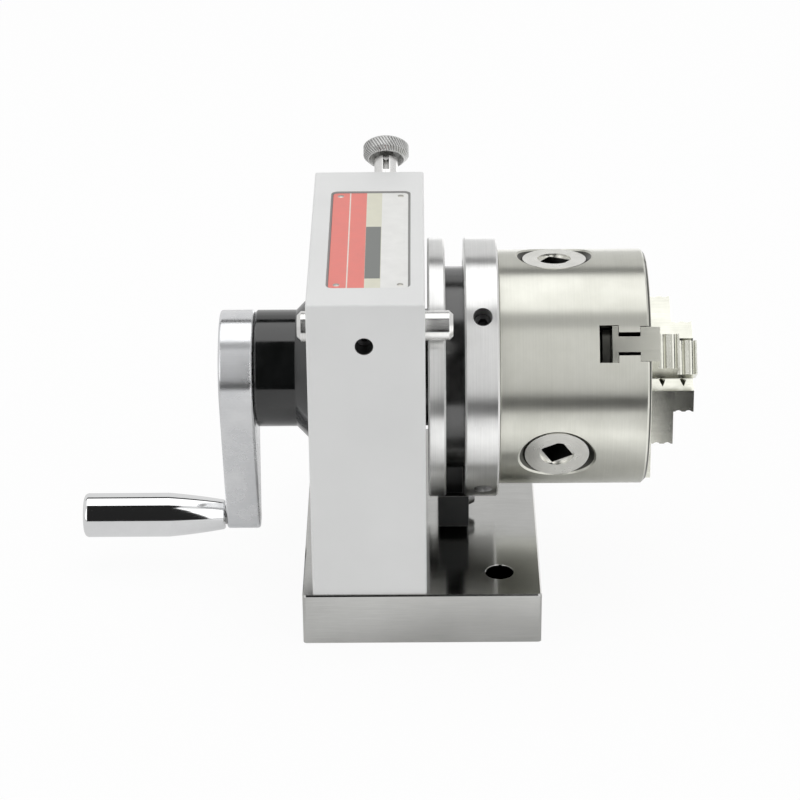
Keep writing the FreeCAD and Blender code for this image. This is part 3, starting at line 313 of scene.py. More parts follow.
def paint(name):
    mat, tree, shader = startMaterial(name)
    coords = placedCoords(tree, (0, 0, 0), (0, 0, 0))
    patches = noise(tree, coords, 1.0 / paintLook["patch"], 3.0, 0.5, "uneven coat")
    colour = mixColour(tree, remap(tree, patches, *noiseSpan, 0.0, 1.0),
                       rgb(paintLook["colour"]), rgb(paintLook["tint"]))
    mask = calc(tree, "MULTIPLY", edgeMask(tree, paintLook["edge"]), paintLook["wear"])
    colour = mixColour(tree, mask, colour, rgb(paintLook["worn"]), label="thin edges")
    x, y, z = splitAxes(tree, coords)
    bore, pocket = boreShadeMask(tree, x, y, z), pocketWallShadeMask(tree, x, y, z)
    # painted shade inside the lock screw's hole
    colour = mixColour(tree, bore, colour, rgb(paintLook["paintedBoreShade"]), label="painted bore shade")
    # painted shade on the bare walls of the plate's pocket
    colour = mixColour(tree, pocket, colour, rgb(paintLook["pocketWallPaintedShade"]), label="bare pocket walls with painted shade")
    feed(tree, colour, shader.inputs["Base Color"])
    rough = remap(tree, patches, *noiseSpan, paintLook["roughness"] - paintLook["roughnessSpread"],
                  paintLook["roughness"] + paintLook["roughnessSpread"])
    feed(tree, rough, shader.inputs["Roughness"])
    peel = noise(tree, coords, 1.0 / paintLook["peel"], 2.0, 0.5, "orange peel")
    roughen(tree, shader, peel, 0.5, paintLook["peelDepth"])
    return mat


blackLook = {
    "colour": (0.010, 0.011, 0.011),
    "tint": (0.018, 0.019, 0.019),
    "worn": (0.11, 0.11, 0.11),
    "patch": 9 * mm,
    "roughness": 0.36,
    "roughnessSpread": 0.06,
    "grain": 0.25 * mm,
    "lineDepth": 0.008 * mm,
    "density": 1.5,                  # index of the black coat: the higher, the more it mirrors
    "wear": 0.5,
    "edge": 0.3 * mm,
}


def blackened(name, **changes):      # black oxide on a turned or milled part
    look = dict(blackLook, **changes)
    mat, tree, shader = startMaterial(name)
    coords = placedCoords(tree, (0, 0, spindleHeight), (0, 0, 0))
    x, y, z = splitAxes(tree, coords)
    reach = addNode(tree, "ShaderNodeVectorMath", operation="LENGTH")
    feed(tree, joinAxes(tree, 0.0, y, z), reach.inputs[0])
    lines = noise(tree, joinAxes(tree, x, reach.outputs["Value"], 0.0), 1.0 / look["grain"], 2.0, 0.6,
                  "turning lines")
    patches = noise(tree, coords, 1.0 / look["patch"], 4.0, 0.65, "oily patches")
    base = mixColour(tree, remap(tree, patches, *cloudSpan, 0.0, 1.0), rgb(look["colour"]), rgb(look["tint"]))
    mask = calc(tree, "MULTIPLY", edgeMask(tree, look["edge"]), look["wear"])
    base = mixColour(tree, mask, base, rgb(look["worn"]), label="worn edges")
    feed(tree, base, shader.inputs["Base Color"])
    rough = remap(tree, patches, *noiseSpan, look["roughness"] - look["roughnessSpread"],
                  look["roughness"] + look["roughnessSpread"])
    feed(tree, rough, shader.inputs["Roughness"])
    shader.inputs["IOR"].default_value = look["density"]
    roughen(tree, shader, lines, 0.4, look["lineDepth"])
    return mat


plateLook = {
    "centre": (-16.7 * mm, -3.5 * mm, 124.5 * mm),
    "halfWidth": 12.9 * mm,
    "halfLength": 38.9 * mm,
    "red": (0.86, 0.235, 0.20),
    "pale": (0.86, 0.80, 0.72),
    "beige": (0.76, 0.75, 0.62),
    "white": (0.86, 0.86, 0.84),
    "grey": (0.20, 0.21, 0.20),
    "bands": (0.0, 0.22, 0.235, 0.447, 0.65),      # where each field starts, as a share of the width
    "block": (0.37, 0.905),                        # the grey block, as shares of the length
    "blockMargin": 0.004,
    "metallic": 0.15,
    "roughness": (0.28, 0.4),
    "inkPatch": 6 * mm,
    "inkTone": (0.93, 1.0),
    "brush": 0.3 * mm,
    "brushDepth": 0.006 * mm,
}


def platePrint(name):      # plain colour fields across the plate, with no words
    look = plateLook
    mat, tree, shader = startMaterial(name)
    coords = placedCoords(tree, look["centre"], (0, 0, 0))
    x, y, z = splitAxes(tree, coords)
    across = remap(tree, x, -look["halfWidth"], look["halfWidth"], 0.0, 1.0, "across the plate")
    along = remap(tree, y, look["halfLength"], -look["halfLength"], 0.0, 1.0, "back to front")
    ramp = addNode(tree, "ShaderNodeValToRGB", "fields")
    ramp.color_ramp.interpolation = "CONSTANT"
    steps = ramp.color_ramp.elements
    names = ("red", "pale", "red", "beige", "white")
    while len(steps) < len(names):
        steps.new(0.99)
    for step, start, field in zip(steps, look["bands"], names):
        step.position = start
        step.color = rgb(look[field])
    feed(tree, across, ramp.inputs[0])
    left, right = look["bands"][3] + look["blockMargin"], look["bands"][4] - look["blockMargin"]
    inBand = calc(tree, "MULTIPLY", calc(tree, "GREATER_THAN", across, left),
                  calc(tree, "LESS_THAN", across, right))
    inBlock = calc(tree, "MULTIPLY", calc(tree, "GREATER_THAN", along, look["block"][0]),
                   calc(tree, "LESS_THAN", along, look["block"][1]))
    colour = mixColour(tree, calc(tree, "MULTIPLY", inBand, inBlock), ramp.outputs[0], rgb(look["grey"]))
    fade = noise(tree, coords, 1.0 / look["inkPatch"], 4.0, 0.6, "ink unevenness")
    tone = remap(tree, fade, *noiseSpan, *look["inkTone"])
    colour = mixColour(tree, 1.0, colour, joinAxes(tree, tone, tone, tone), "MULTIPLY")
    feed(tree, colour, shader.inputs["Base Color"])
    shader.inputs["Metallic"].default_value = look["metallic"]
    feed(tree, remap(tree, fade, *noiseSpan, *look["roughness"]), shader.inputs["Roughness"])
    brush = noise(tree, joinAxes(tree, x, calc(tree, "MULTIPLY", y, 0.02), z), 1.0 / look["brush"], 2.0)
    roughen(tree, shader, brush, 0.3, look["brushDepth"])
    return mat


axisAt = {
    "plunger": -11.7 * mm,
    "plungerElevation": 142.5,       # degrees from the front, over the top
    "pinions": 45.3 * mm,
    "pinionElevations": {"pinion_1": 96.8, "pinion_2": 216.8, "pinion_3": 336.8},
    "grip": (0.0, 0.0, 17.7 * mm),
    "stopPin": (0.0, -40.7 * mm, 110.2 * mm),
}


def axisWay(elevation):      # a direction that stands off the spindle
    angle = math.radians(elevation)
    return Vector((0, -math.cos(angle), math.sin(angle)))


def axisTurn(elevation):      # the turn that lays X along that direction
    return tuple(Vector((1, 0, 0)).rotation_difference(axisWay(elevation)).to_euler())


plungerCentre = (axisAt["plunger"], 0, spindleHeight)
plungerTurn = axisTurn(axisAt["plungerElevation"])

finish = {}
# The base plate's two bored holes are darkened inside with painted shade.
finish["base_plate"] = metal("groundBase", colour=(0.57, 0.57, 0.555), tint=(0.51, 0.51, 0.495), roughness=0.13,
                             roughnessSpread=0.05, grain="straight", lineSpacing=0.25 * mm, anisotropy=0.3,
                             patch=30 * mm, centre=(0, 0, 0), edgeWidth=0.4 * mm,
                             holes=((26.2 * mm, -42.1 * mm, 4.75 * mm, 18.25 * mm),
                                    (26.2 * mm, 47.7 * mm, 4.75 * mm, 18.25 * mm)))
finish["column"] = paint("columnPaint")
finish["name_plate"] = platePrint("platePrint")
finish["plate_rivets"] = metal("rivetSteel", colour=(0.52, 0.51, 0.47), tint=(0.42, 0.41, 0.38), roughness=0.38,
                               patch=1.5 * mm, anisotropy=0.0)
finish["bearing_cap"] = blackened("blackCap", roughness=0.12, density=1.7, colour=(0.004, 0.0045, 0.0045),
                                  tint=(0.008, 0.009, 0.009))
finish["stop_dog"] = blackened("blackDog", roughness=0.34, worn=(0.32, 0.32, 0.31), wear=0.9)
finish["centring_screws"] = blackened("blackScrews", roughness=0.4)
finish["spindle"] = blackened("blackSpindle", roughness=0.2, density=1.9, colour=(0.004, 0.004, 0.0035),
                              tint=(0.02, 0.02, 0.018), grain=0.6 * mm)
discSteel = metal("discSteel", colour=(0.86, 0.86, 0.85), tint=(0.79, 0.79, 0.78), roughness=0.34,
                  anisotropy=0.9)
for node in ("stop_ring", "adapter_plate"):
    finish[node] = discSteel
# The chuck's inner slot walls are darkened with painted shade.
finish["chuck_body"] = metal("chuckSteel", colour=(0.68, 0.68, 0.62), tint=(0.61, 0.61, 0.55),
                             roughness=0.34, anisotropy=0.9, lineShade=0.06, lineDepth=0.006 * mm,
                             inside=(39.4 * mm, 75.9 * mm))
finish["crank_arm"] = metal("crankChrome", colour=(0.82, 0.825, 0.835), tint=(0.72, 0.73, 0.745),
                            roughness=0.27, grain="straight", scatter=(1.0, 0.0, 0.1), anisotropy=0.85,
                            patch=12 * mm, centre=(0, 0, 0), lineDepth=0.002 * mm, lineShade=0.04)
finish["crank_grip"] = metal("gripChrome", colour=(0.86, 0.865, 0.87), tint=(0.80, 0.805, 0.81),
                             roughness=0.05, roughnessSpread=0.03, centre=axisAt["grip"], anisotropy=0.0,
                             lineDepth=0.001 * mm, lineShade=0.02)
finish["grip_stud"] = metal("studSteel", colour=(0.30, 0.30, 0.30), centre=axisAt["grip"])
finish["stop_pin"] = metal("pinSteel", colour=(0.88, 0.875, 0.86), tint=(0.80, 0.795, 0.78), roughness=0.2,
                           centre=axisAt["stopPin"])
finish["plunger_sleeve"] = metal("sleeveSteel", colour=(0.88, 0.875, 0.86), tint=(0.82, 0.815, 0.80),
                                 roughness=0.3, centre=plungerCentre, turn=plungerTurn)
finish["index_plunger"] = metal("plungerRodSteel", colour=(0.45, 0.45, 0.44), tint=(0.38, 0.38, 0.37),
                                roughness=0.3, centre=plungerCentre, turn=plungerTurn)
finish["cross_pin"] = metal("crossPinSteel", colour=(0.50, 0.50, 0.49), tint=(0.42, 0.42, 0.41),
                            roughness=0.3, centre=plungerCentre, turn=plungerTurn)
# The jaws' teeth, behind the foot, are darkened with painted shade.
jawSteel = metal("jawSteel", colour=(0.68, 0.68, 0.615), tint=(0.60, 0.60, 0.535), roughness=0.17,
                 grain="straight", anisotropy=0.3, patch=8 * mm, lineDepth=0.004 * mm,
                 inside=(60 * mm, 63.15 * mm))
for node in ("jaw_1", "jaw_2", "jaw_3"):
    finish[node] = jawSteel
# Each pinion's key socket is darkened inside with painted shade.
for node, elevation in axisAt["pinionElevations"].items():
    finish[node] = metal("steelOf" + node.replace("_", "").title(), colour=(0.90, 0.895, 0.85),
                         tint=(0.82, 0.815, 0.77), roughness=0.3, centre=(axisAt["pinions"], 0, spindleHeight),
                         turn=axisTurn(elevation), patch=5 * mm, inside=(5.7 * mm, 37.4 * mm))
bronze = metal("bushBronze", colour=(0.62, 0.42, 0.20), tint=(0.52, 0.34, 0.16), roughness=0.32)
finish["rear_bush"] = bronze
finish["front_bush"] = bronze
innerSteel = metal("innerSteel", colour=(0.50, 0.50, 0.49), tint=(0.40, 0.40, 0.38), roughness=0.34)
darkSteel = metal("darkScrewSteel", colour=(0.22, 0.22, 0.22), tint=(0.16, 0.16, 0.16), roughness=0.36,
                  grain="straight", anisotropy=0.0, patch=4 * mm)
for node in ("index_wheel", "chuck_cover", "plunger_spring"):
    finish[node] = innerSteel
# The scroll plate, seen only deep in the jaw slots, is coloured near black as painted shade.
finish["scroll_plate"] = metal("shadedScroll", colour=(0.05, 0.05, 0.045), tint=(0.03, 0.03, 0.028), roughness=0.3)
for node in ("column_screws", "dowel_pins", "lock_screw", "ring_screws", "chuck_screws", "crank_screw",
             "pinion_pins", "wheel_key", "crank_key", "dog_screw"):
    finish[node] = darkSteel


knobLook = {
    "colour": (0.58, 0.58, 0.57),
    "low": (0.16, 0.16, 0.155),      # bottom of the knurl's grooves
    "patch": 2.5 * mm,
    "patchTone": (0.85, 1.1),
    "roughness": (0.24, 0.38),
    "grain": 0.3 * mm,
    "grainDepth": 0.01 * mm,
}


def knurled(name):      # bright crests and dark grooves, which the mesh carries as "groove"
    mat, tree, shader = startMaterial(name)
    coords = placedCoords(tree, plungerCentre, plungerTurn)
    deep = addNode(tree, "ShaderNodeAttribute", "groove", attribute_name="groove").outputs["Fac"]
    patches = noise(tree, coords, 1.0 / knobLook["patch"], 3.0, 0.6, "handling marks")
    bright = remap(tree, patches, *noiseSpan, *knobLook["patchTone"])
    colour = mixColour(tree, 1.0, rgb(knobLook["colour"]), joinAxes(tree, bright, bright, bright), "MULTIPLY")
    colour = mixColour(tree, remap(tree, deep, 0.25, 0.9, 0.0, 1.0), colour, rgb(knobLook["low"]), label="darker in the grooves")
    feed(tree, colour, shader.inputs["Base Color"])
    shader.inputs["Metallic"].default_value = 1.0
    feed(tree, remap(tree, patches, *noiseSpan, *knobLook["roughness"]), shader.inputs["Roughness"])
    roughen(tree, shader, noise(tree, coords, 1.0 / knobLook["grain"], 2.0), 0.3, knobLook["grainDepth"])
    return mat


finish["plunger_knob"] = knurled("knurledSteel")

for name, obj in nodes.items():
    obj.data.materials.clear()
    obj.data.materials.append(finish[name])
print("materials on", len(finish), "nodes")


def startTree(name, inputs):      # a Geometry Nodes tree with named inputs
    tree = bpy.data.node_groups.new(name, "GeometryNodeTree")
    tree.interface.new_socket("Geometry", in_out="INPUT", socket_type="NodeSocketGeometry")
    for label in inputs:
        tree.interface.new_socket(label, in_out="INPUT", socket_type="NodeSocketFloat")
    tree.interface.new_socket("Geometry", in_out="OUTPUT", socket_type="NodeSocketGeometry")
    return tree, addNode(tree, "NodeGroupInput"), addNode(tree, "NodeGroupOutput")


def closeTree(tree, geometry, output, material):      # ends in real geometry with its own material
    real = addNode(tree, "GeometryNodeRealizeInstances")
    dressed = addNode(tree, "GeometryNodeSetMaterial")
    dressed.inputs["Material"].default_value = material
    tree.links.new(geometry, real.inputs[0])
    tree.links.new(real.outputs[0], dressed.inputs["Geometry"])
    tree.links.new(dressed.outputs[0], output.inputs[0])


def grow(name, mesh, tree, values, material):      # runs the tree and keeps its result as a plain mesh
    seed = bpy.data.objects.new(name + "Seed", mesh)
    bpy.context.scene.collection.objects.link(seed)
    modifier = seed.modifiers.new("nodes", "NODES")
    modifier.node_group = tree
    for item in tree.interface.items_tree:
        if item.item_type == "SOCKET" and item.in_out == "INPUT" and item.name in values:
            modifier[item.identifier] = float(values[item.name])
    grown = bpy.data.meshes.new_from_object(seed.evaluated_get(bpy.context.evaluated_depsgraph_get()))
    seed.modifiers.clear()
    bpy.data.objects.remove(seed)
    grown.name = name
    grown.materials.clear()
    grown.materials.append(material)
    piece = bpy.data.objects.new(name, grown)
    bpy.context.scene.collection.objects.link(piece)
    return piece


def vectorStep(tree, operation, first, second=None):
    node = addNode(tree, "ShaderNodeVectorMath", operation=operation)
    feed(tree, first, node.inputs[0])
    if second is not None:
        feed(tree, second, node.inputs["Scale"] if operation == "SCALE" else node.inputs[1])
    return node.outputs["Value" if operation == "DOT_PRODUCT" else "Vector"]


# The knob's knurl is cut by the tree into a plain turned knob.
knob = {
    "Tooth Count": 45,
    "Groove Depth": 0.26 * mm,
    "Cross Depth": 0.10 * mm,
    "Slant": 0.62,                   # turn of the grooves per turn of travel along the knob
    "Band Low": 81.9 * mm,
    "Band High": 86.7 * mm,
    "segments": 360,
    "profile": ((2.52, 85.85), (6.05, 85.85), (6.1, 85.8), (6.1, 81.85), (6.15, 81.8), (6.38, 81.8)),
    "foot": (6.45, 81.84),
    "shoulder": (8.08, 83.5),
    "rim": (8.08, 86.8),
    "edge": (7.5, 87.38),
    "crown": ((7.35, 87.4), (2.52, 87.4)),
    "footRows": 7,
    "bandRows": 22,
    "edgeRows": 3,
    "cutFrom": 6.5 * mm,             # nothing nearer to the axis is cut
    "cutShape": 1.5,                 # 1 cuts straight vees, more leaves broader crests
    "sharpAngle": 60,
}


def between(first, second, count):      # evenly spaced places from the first up to, not with, the second
    return [tuple(a + (b - a) * i / count for a, b in zip(first, second)) for i in range(count)]


def knobMesh():
    rows = list(knob["profile"])
    rows += between(knob["foot"], knob["shoulder"], knob["footRows"])
    rows += between(knob["shoulder"], knob["rim"], knob["bandRows"])
    rows += between(knob["rim"], knob["edge"], knob["edgeRows"])
    rows += [knob["edge"], *knob["crown"]]
    way = axisWay(axisAt["plungerElevation"])
    side = Vector((1, 0, 0))
    up = way.cross(side)
    count = knob["segments"]
    points = []
    for radius, height in rows:
        for i in range(count):
            angle = 2 * math.pi * i / count
            out = side * math.cos(angle) + up * math.sin(angle)
            points.append(Vector(plungerCentre) + way * height * mm + out * radius * mm)
    faces = []
    for row in range(len(rows)):
        below = (row + 1) % len(rows) * count
        for i in range(count):
            j = (i + 1) % count
            faces.append((row * count + i, row * count + j, below + j, below + i))
    mesh = bpy.data.meshes.new("turnedKnob")
    mesh.from_pydata(points, [], faces)
    mesh.shade_smooth()
    return mesh


def knurlTree(material):
    labels = ("Tooth Count", "Groove Depth", "Cross Depth", "Slant", "Band Low", "Band High")
    tree, given, output = startTree("knurl", labels)
    way = axisWay(axisAt["plungerElevation"])
    side = Vector((1, 0, 0))
    up = way.cross(side)
    place = vectorStep(tree, "SUBTRACT", addNode(tree, "GeometryNodeInputPosition").outputs[0], plungerCentre)
    height = vectorStep(tree, "DOT_PRODUCT", place, tuple(way))
    first = vectorStep(tree, "DOT_PRODUCT", place, tuple(side))
    second = vectorStep(tree, "DOT_PRODUCT", place, tuple(up))
    angle = calc(tree, "DIVIDE", calc(tree, "ARCTAN2", second, first), 2 * math.pi)
    teeth = calc(tree, "MULTIPLY", angle, given.outputs["Tooth Count"])
    climb = calc(tree, "DIVIDE", height, 2 * math.pi * knob["rim"][0] * mm)
    pace = calc(tree, "MULTIPLY", given.outputs["Slant"], given.outputs["Tooth Count"])
    climb = calc(tree, "MULTIPLY", climb, pace)
    cuts = []
    for sign, depth in ((1.0, "Groove Depth"), (-1.0, "Cross Depth")):
        phase = calc(tree, "ADD", teeth, calc(tree, "MULTIPLY", climb, sign))
        wave = calc(tree, "PINGPONG", phase, 0.5, "one groove per tooth")
        notch = calc(tree, "SUBTRACT", 1.0, calc(tree, "MULTIPLY", wave, 2.0))
        cuts.append(calc(tree, "MULTIPLY", calc(tree, "POWER", notch, knob["cutShape"]), given.outputs[depth]))
    depth = calc(tree, "MAXIMUM", cuts[0], cuts[1])
    outer = vectorStep(tree, "ADD", vectorStep(tree, "SCALE", tuple(side), first),
                       vectorStep(tree, "SCALE", tuple(up), second))
    outward = vectorStep(tree, "NORMALIZE", outer)
    reach = addNode(tree, "ShaderNodeVectorMath", operation="LENGTH")
    feed(tree, outer, reach.inputs[0])
    inBand = calc(tree, "MULTIPLY", calc(tree, "GREATER_THAN", height, given.outputs["Band Low"]),
                  calc(tree, "LESS_THAN", height, given.outputs["Band High"]))
    inBand = calc(tree, "MULTIPLY", inBand, calc(tree, "GREATER_THAN", reach.outputs["Value"], knob["cutFrom"]))
    depth = calc(tree, "MULTIPLY", depth, inBand)
    moved = addNode(tree, "GeometryNodeSetPosition")
    feed(tree, vectorStep(tree, "SCALE", outward, calc(tree, "MULTIPLY", depth, -1.0)), moved.inputs["Offset"])
    kept = addNode(tree, "GeometryNodeStoreNamedAttribute", data_type="FLOAT", domain="POINT")
    kept.inputs["Name"].default_value = "groove"
    tree.links.new(given.outputs["Geometry"], kept.inputs["Geometry"])
    feed(tree, calc(tree, "DIVIDE", depth, given.outputs["Groove Depth"]), kept.inputs["Value"])
    tree.links.new(kept.outputs[0], moved.inputs["Geometry"])
    closeTree(tree, moved.outputs[0], output, material)
    return tree


def buildKnob():
    material = finish["plunger_knob"]
    piece = grow("knurledKnob", knobMesh(), knurlTree(material), knob, material)
    piece.data.set_sharp_from_angle(angle=math.radians(knob["sharpAngle"]))
    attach(piece, "plunger")
    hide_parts("plunger_knob")
    print("knob:", len(piece.data.polygons), "faces")


spring = {
    "Turns": 8,
    "Coil Radius": 3.0 * mm,
    "Wire Radius": 0.3 * mm,
    "Length": 12.6 * mm,
    "start": 54.55 * mm,             # height of the first coil over the spindle's axis
    "pointsPerTurn": 24,
    "wireSides": 8,
}


def springTree(material):
    labels = ("Turns", "Coil Radius", "Wire Radius", "Length")
    tree, given, output = startTree("coilSpring", labels)
    spiral = addNode(tree, "GeometryNodeCurveSpiral")
    spiral.inputs["Resolution"].default_value = spring["pointsPerTurn"]
    for socket, label in (("Rotations", "Turns"), ("Start Radius", "Coil Radius"), ("End Radius", "Coil Radius"),
                          ("Height", "Length")):
        tree.links.new(given.outputs[label], spiral.inputs[socket])
    wire = addNode(tree, "GeometryNodeCurvePrimitiveCircle")
    wire.inputs["Resolution"].default_value = spring["wireSides"]
    tree.links.new(given.outputs["Wire Radius"], wire.inputs["Radius"])
    body = addNode(tree, "GeometryNodeCurveToMesh")
    body.inputs["Fill Caps"].default_value = True
    tree.links.new(spiral.outputs[0], body.inputs["Curve"])
    tree.links.new(wire.outputs[0], body.inputs["Profile Curve"])
    way = axisWay(axisAt["plungerElevation"])
    stand = addNode(tree, "GeometryNodeTransform")
    stand.inputs["Rotation"].default_value = way.to_track_quat("Z", "Y").to_euler()
    stand.inputs["Translation"].default_value = Vector(plungerCentre) + way * spring["start"]
    tree.links.new(body.outputs[0], stand.inputs["Geometry"])
    closeTree(tree, stand.outputs[0], output, material)
    return tree


def buildSpring():
    material = finish["plunger_spring"]
    piece = grow("coilSpring", bpy.data.meshes.new("springSeed"), springTree(material), spring, material)
    piece.data.shade_smooth()
    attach(piece, "frame")
    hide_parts("plunger_spring")
    print("spring:", len(piece.data.polygons), "faces")


# The pinions' key sockets stand a tooth or two round from where the solids have them.
pinionSet = {
    "turns": {"pinion_1": -30, "pinion_2": -30, "pinion_3": -60},      # degrees
    "mergeReach": 0.0005 * mm,
    "sharpAngle": 28,
}


def buildPinions():
    for name, degrees in pinionSet["turns"].items():
        shape = bmesh.new()
        shape.from_mesh(nodes[name].data)
        bmesh.ops.remove_doubles(shape, verts=shape.verts, dist=pinionSet["mergeReach"])
        centre = Vector((axisAt["pinions"], 0, spindleHeight))
        spin = Matrix.Rotation(math.radians(degrees), 4, axisWay(axisAt["pinionElevations"][name]))
        place = Matrix.Translation(centre) @ spin @ Matrix.Translation(-centre)
        points = [place @ vert.co for vert in shape.verts]
        shape.verts.index_update()
        faces = [[vert.index for vert in face.verts] for face in shape.faces]
        shape.free()
        mesh = bpy.data.meshes.new("turned_" + name)
        mesh.from_pydata(points, [], faces)
        mesh.shade_smooth()
        mesh.set_sharp_from_angle(angle=math.radians(pinionSet["sharpAngle"]))
        mesh.materials.append(finish[name])
        piece = bpy.data.objects.new("turned_" + name, mesh)
        bpy.context.scene.collection.objects.link(piece)
        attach(piece, name)
        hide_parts(name)
    print("pinions:", len(pinionSet["turns"]))


gripShape = {
    "radius": 7.7,                   # in mm, as all the lengths here
    "barrel": (-116.9, -116.7, -116.0),
    "taper": -88.6,
    "taperLead": 0.6,                # a row just before the taper keeps the barrel's shading straight
    "neck": (-69.3, 5.2),
    "neckChamfer": 0.5,
    "arm": -68.8,
    "bulge": 0.2,
    "dome": ((-118.3, 4.25), (-118.42, 5.2), (-118.3, 6.25), (-117.95, 7.05), (-117.5, 7.48)),
    "recess": -114.3,
    "bore": 2.56,
    "taperRows": 14,
    "segments": 128,
    "sharpAngle": 35,
}


def gripRows():
    look = gripShape
    reach, radius = look["taper"], look["radius"]
    rows = [(look["recess"], look["bore"]), (look["recess"], look["dome"][0][1]), *look["dome"]]
    rows += [(x, radius) for x in (*look["barrel"], reach - look["taperLead"])]
    for i in range(look["taperRows"] + 1):
        share = i / look["taperRows"]
        drop = radius + (look["neck"][1] - radius) * share + 4 * look["bulge"] * share * (1 - share)
        rows.append((reach + (look["neck"][0] - reach) * share, drop))
    rows += [(look["arm"], look["neck"][1] - look["neckChamfer"]), (look["arm"], look["bore"])]
    return rows


def buildGrip():
    rows = gripRows()
    count = gripShape["segments"]
    centre = Vector(axisAt["grip"])
    points = []
    for x, radius in rows:
        for i in range(count):
            angle = 2 * math.pi * i / count
            points.append(centre + Vector((x, radius * math.cos(angle), radius * math.sin(angle))) * mm)
    faces = []
    for row in range(len(rows)):
        after = (row + 1) % len(rows) * count
        for i in range(count):
            j = (i + 1) % count
            faces.append((row * count + i, after + i, after + j, row * count + j))
    mesh = bpy.data.meshes.new("turnedGrip")
    mesh.from_pydata(points, [], faces)
    shape = bmesh.new()
    shape.from_mesh(mesh)
    bmesh.ops.recalc_face_normals(shape, faces=shape.faces)
    shape.to_mesh(mesh)
    shape.free()
    mesh.shade_smooth()
    mesh.set_sharp_from_angle(angle=math.radians(gripShape["sharpAngle"]))
    mesh.materials.append(finish["crank_grip"])
    piece = bpy.data.objects.new("turnedGrip", mesh)
    bpy.context.scene.collection.objects.link(piece)
    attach(piece, "grip")
    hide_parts("crank_grip")
    print("grip:", len(mesh.polygons), "faces")


buildKnob()
buildSpring()
buildPinions()
buildGrip()


studio = {
    "floorColour": (0.93, 0.93, 0.93),
    "floorHalf": 4.0,
    "whiteShare": 0.93,              # how much of the floor the camera sees as pure white
    "skyLevel": 0.75,
    "objectSpot": (0.03, 0.0),
    "shadedReach": (0.07, 0.12),     # in gloss, the floor shows its own shade near the object
    "farFloor": (0.72, 1.38),        # and glows at this level in reflections farther off, left of the column and right of it
    "farFloorFrom": (-0.06, 0.03),
}


def showMesh(name, corners):
    mesh = bpy.data.meshes.new(name)
    mesh.from_pydata(corners, [], [tuple(range(len(corners)))])
    obj = bpy.data.objects.new(name, mesh)
    bpy.context.scene.collection.objects.link(obj)
    return obj


def glossCard(name, corners, level):      # lights or darkens only what metal reflects
    card = showMesh(name, corners)
    mat = bpy.data.materials.new(name)
    mat.use_nodes = True
    tree = mat.node_tree
    tree.nodes.clear()
    glow = addNode(tree, "ShaderNodeEmission")
    glow.inputs["Strength"].default_value = level
    out = addNode(tree, "ShaderNodeOutputMaterial")
    feed(tree, glow.outputs[0], out.inputs["Surface"])
    card.data.materials.append(mat)
    card.visible_camera = False
    card.visible_diffuse = False
    card.visible_shadow = False
    card.visible_transmission = False


def buildFloor():
    half = studio["floorHalf"]
    floor = showMesh("floor", [(-half, -half, 0), (half, -half, 0), (half, half, 0), (-half, half, 0)])
    mat = bpy.data.materials.new("floorPaper")
    mat.use_nodes = True
    tree = mat.node_tree
    tree.nodes.clear()
    path = addNode(tree, "ShaderNodeLightPath")
    seen = calc(tree, "MAXIMUM", path.outputs["Is Camera Ray"], path.outputs["Is Transmission Ray"])
    seen = calc(tree, "MULTIPLY", seen, studio["whiteShare"])
    coords = addNode(tree, "ShaderNodeTexCoord").outputs["Object"]
    x, y, z = splitAxes(tree, coords)
    spot = studio["objectSpot"]
    offX = calc(tree, "SUBTRACT", x, spot[0])
    offY = calc(tree, "SUBTRACT", y, spot[1])
    away = calc(tree, "SQRT", calc(tree, "ADD", calc(tree, "MULTIPLY", offX, offX),
                                   calc(tree, "MULTIPLY", offY, offY)))
    far = remap(tree, away, *studio["shadedReach"], 0.0, 1.0, "floor glow in reflections farther off")
    glossy = calc(tree, "MULTIPLY", path.outputs["Is Glossy Ray"], far)
    share = calc(tree, "MAXIMUM", seen, glossy)
    # Farther off, the floor glows in reflections, brighter towards the right.
    level = remap(tree, x, *studio["farFloorFrom"], *studio["farFloor"])
    strength = addNode(tree, "ShaderNodeMix", "white to the camera", data_type="FLOAT")
    feed(tree, path.outputs["Is Glossy Ray"], strength.inputs[0])
    strength.inputs[2].default_value = 1.0
    feed(tree, level, strength.inputs[3])
    paper = addNode(tree, "ShaderNodeBsdfDiffuse")
    paper.inputs["Color"].default_value = rgb(studio["floorColour"])
    glow = addNode(tree, "ShaderNodeEmission")
    feed(tree, strength.outputs[0], glow.inputs["Strength"])
    mix = addNode(tree, "ShaderNodeMixShader")
    feed(tree, share, mix.inputs[0])
    feed(tree, paper.outputs[0], mix.inputs[1])
    feed(tree, glow.outputs[0], mix.inputs[2])
    out = addNode(tree, "ShaderNodeOutputMaterial")
    feed(tree, mix.outputs[0], out.inputs["Surface"])
    floor.data.materials.append(mat)


def buildWorld():
    world = bpy.data.worlds.new("studioWorld")
    bpy.context.scene.world = world
    world.use_nodes = True
    tree = world.node_tree
    tree.nodes.clear()
    back = addNode(tree, "ShaderNodeBackground")
    path = addNode(tree, "ShaderNodeLightPath")
    seen = calc(tree, "MAXIMUM", path.outputs["Is Camera Ray"], path.outputs["Is Glossy Ray"])
    seen = calc(tree, "MAXIMUM", seen, path.outputs["Is Transmission Ray"])
    strength = remap(tree, seen, 0.0, 1.0, studio["skyLevel"], 1.0)
    feed(tree, strength, back.inputs["Strength"])
    out = addNode(tree, "ShaderNodeOutputWorld")
    feed(tree, back.outputs[0], out.inputs["Surface"])


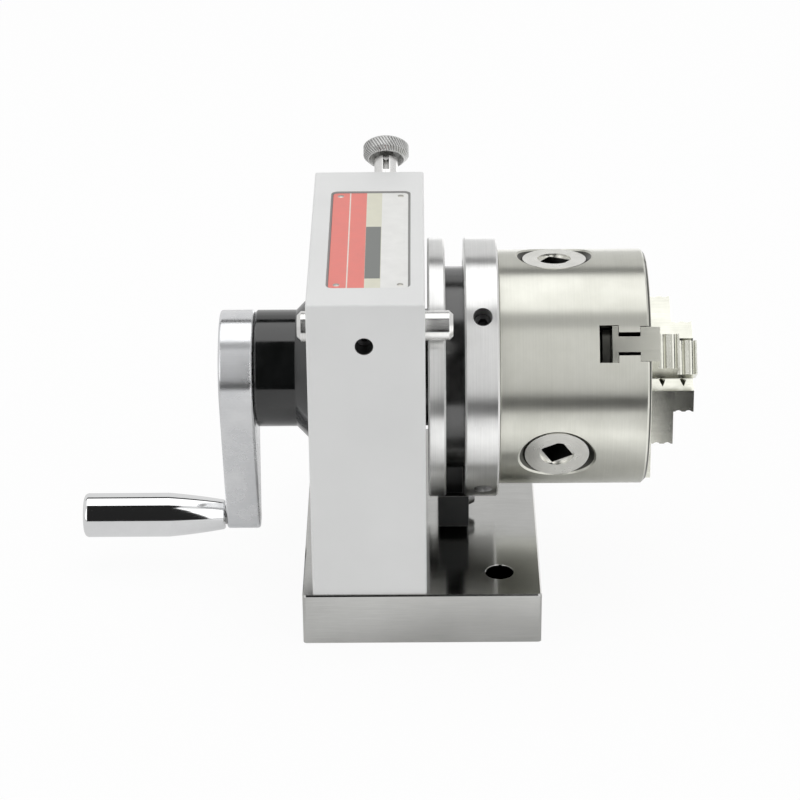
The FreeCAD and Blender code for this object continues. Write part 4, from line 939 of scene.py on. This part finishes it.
lamps = {
    "topBox": {"place": (0.0, 0.30, 1.03), "aim": (0.0, 0.0, 0.06), "width": 1.1, "depth": 0.87, "power": 3.4},
    "leftBox": {"place": (-1.1, -0.75, 0.75), "aim": (0.0, 0.0, 0.06), "width": 0.7, "depth": 0.9, "power": 2.5},
    "rightBox": {"place": (1.2, -0.7, 0.7), "aim": (0.0, 0.0, 0.06), "width": 0.7, "depth": 0.9, "power": 2.4},
}


def buildLamps():
    for name, lamp in lamps.items():
        light = bpy.data.lights.new(name, "AREA")
        light.shape = "RECTANGLE"
        light.size = lamp["width"]
        light.size_y = lamp["depth"]
        light.energy = lamp["power"]
        obj = bpy.data.objects.new(name, light)
        bpy.context.scene.collection.objects.link(obj)
        aim = Vector(lamp["aim"]) - Vector(lamp["place"])
        obj.matrix_world = (Matrix.Translation(lamp["place"])
                            @ aim.to_track_quat("-Z", "Y").to_matrix().to_4x4())
        obj.visible_glossy = False      # its card below is what metal shows


# Each card is upright at a depth y, flat at a height z, or faces the object as the soft box does.
cards = {
    "softBoxGlow": {"x": (-0.55, 0.55), "y": (-0.19, 0.62), "z": (1.13, 0.92), "level": 1.62},
    "backStrip": {"x": (-2.0, 2.0), "y": (1.5, 1.5), "z": (1.42, 1.98), "level": 0.03},
    "frontStrip": {"x": (-0.50, 0.22), "y": (-1.35, -1.35), "z": (0.004, 1.4), "level": 0.02},
    "highStrip": {"x": (-0.60, 0.24), "y": (-1.35, -1.35), "z": (1.4, 2.8), "level": 0.02},
    "overheadStrip": {"x": (-0.70, 0.24), "y": (-1.35, -0.48), "z": (2.8, 2.8), "level": 0.02},
    "frontPanelLeft": {"x": (-2.2, -0.50), "y": (-1.36, -1.36), "z": (0.004, 2.9), "level": 1.5},
    "frontPanelRight": {"x": (0.22, 2.2), "y": (-1.36, -1.36), "z": (0.004, 2.9), "level": 1.5},
    "tableStrip": {"x": (-3.0, 3.0), "y": (-1.35, -0.27), "z": (0.002, 0.002), "level": 0.02},
    "tableCorner": {"x": (0.098, 0.17), "y": (-0.27, -0.11), "z": (0.002, 0.002), "level": 0.04},
}


def buildCards():
    for name, card in cards.items():
        left, right = card["x"]
        corners = []
        for x, end in ((left, 0), (right, 0), (right, 1), (left, 1)):
            corners.append((x, card["y"][end], card["z"][end]))
        glossCard(name, corners, card["level"])


buildFloor()
buildWorld()
buildLamps()
buildCards()
setCamera()
scene = bpy.context.scene
scene.view_settings.view_transform = "Standard"
print("studio ready")
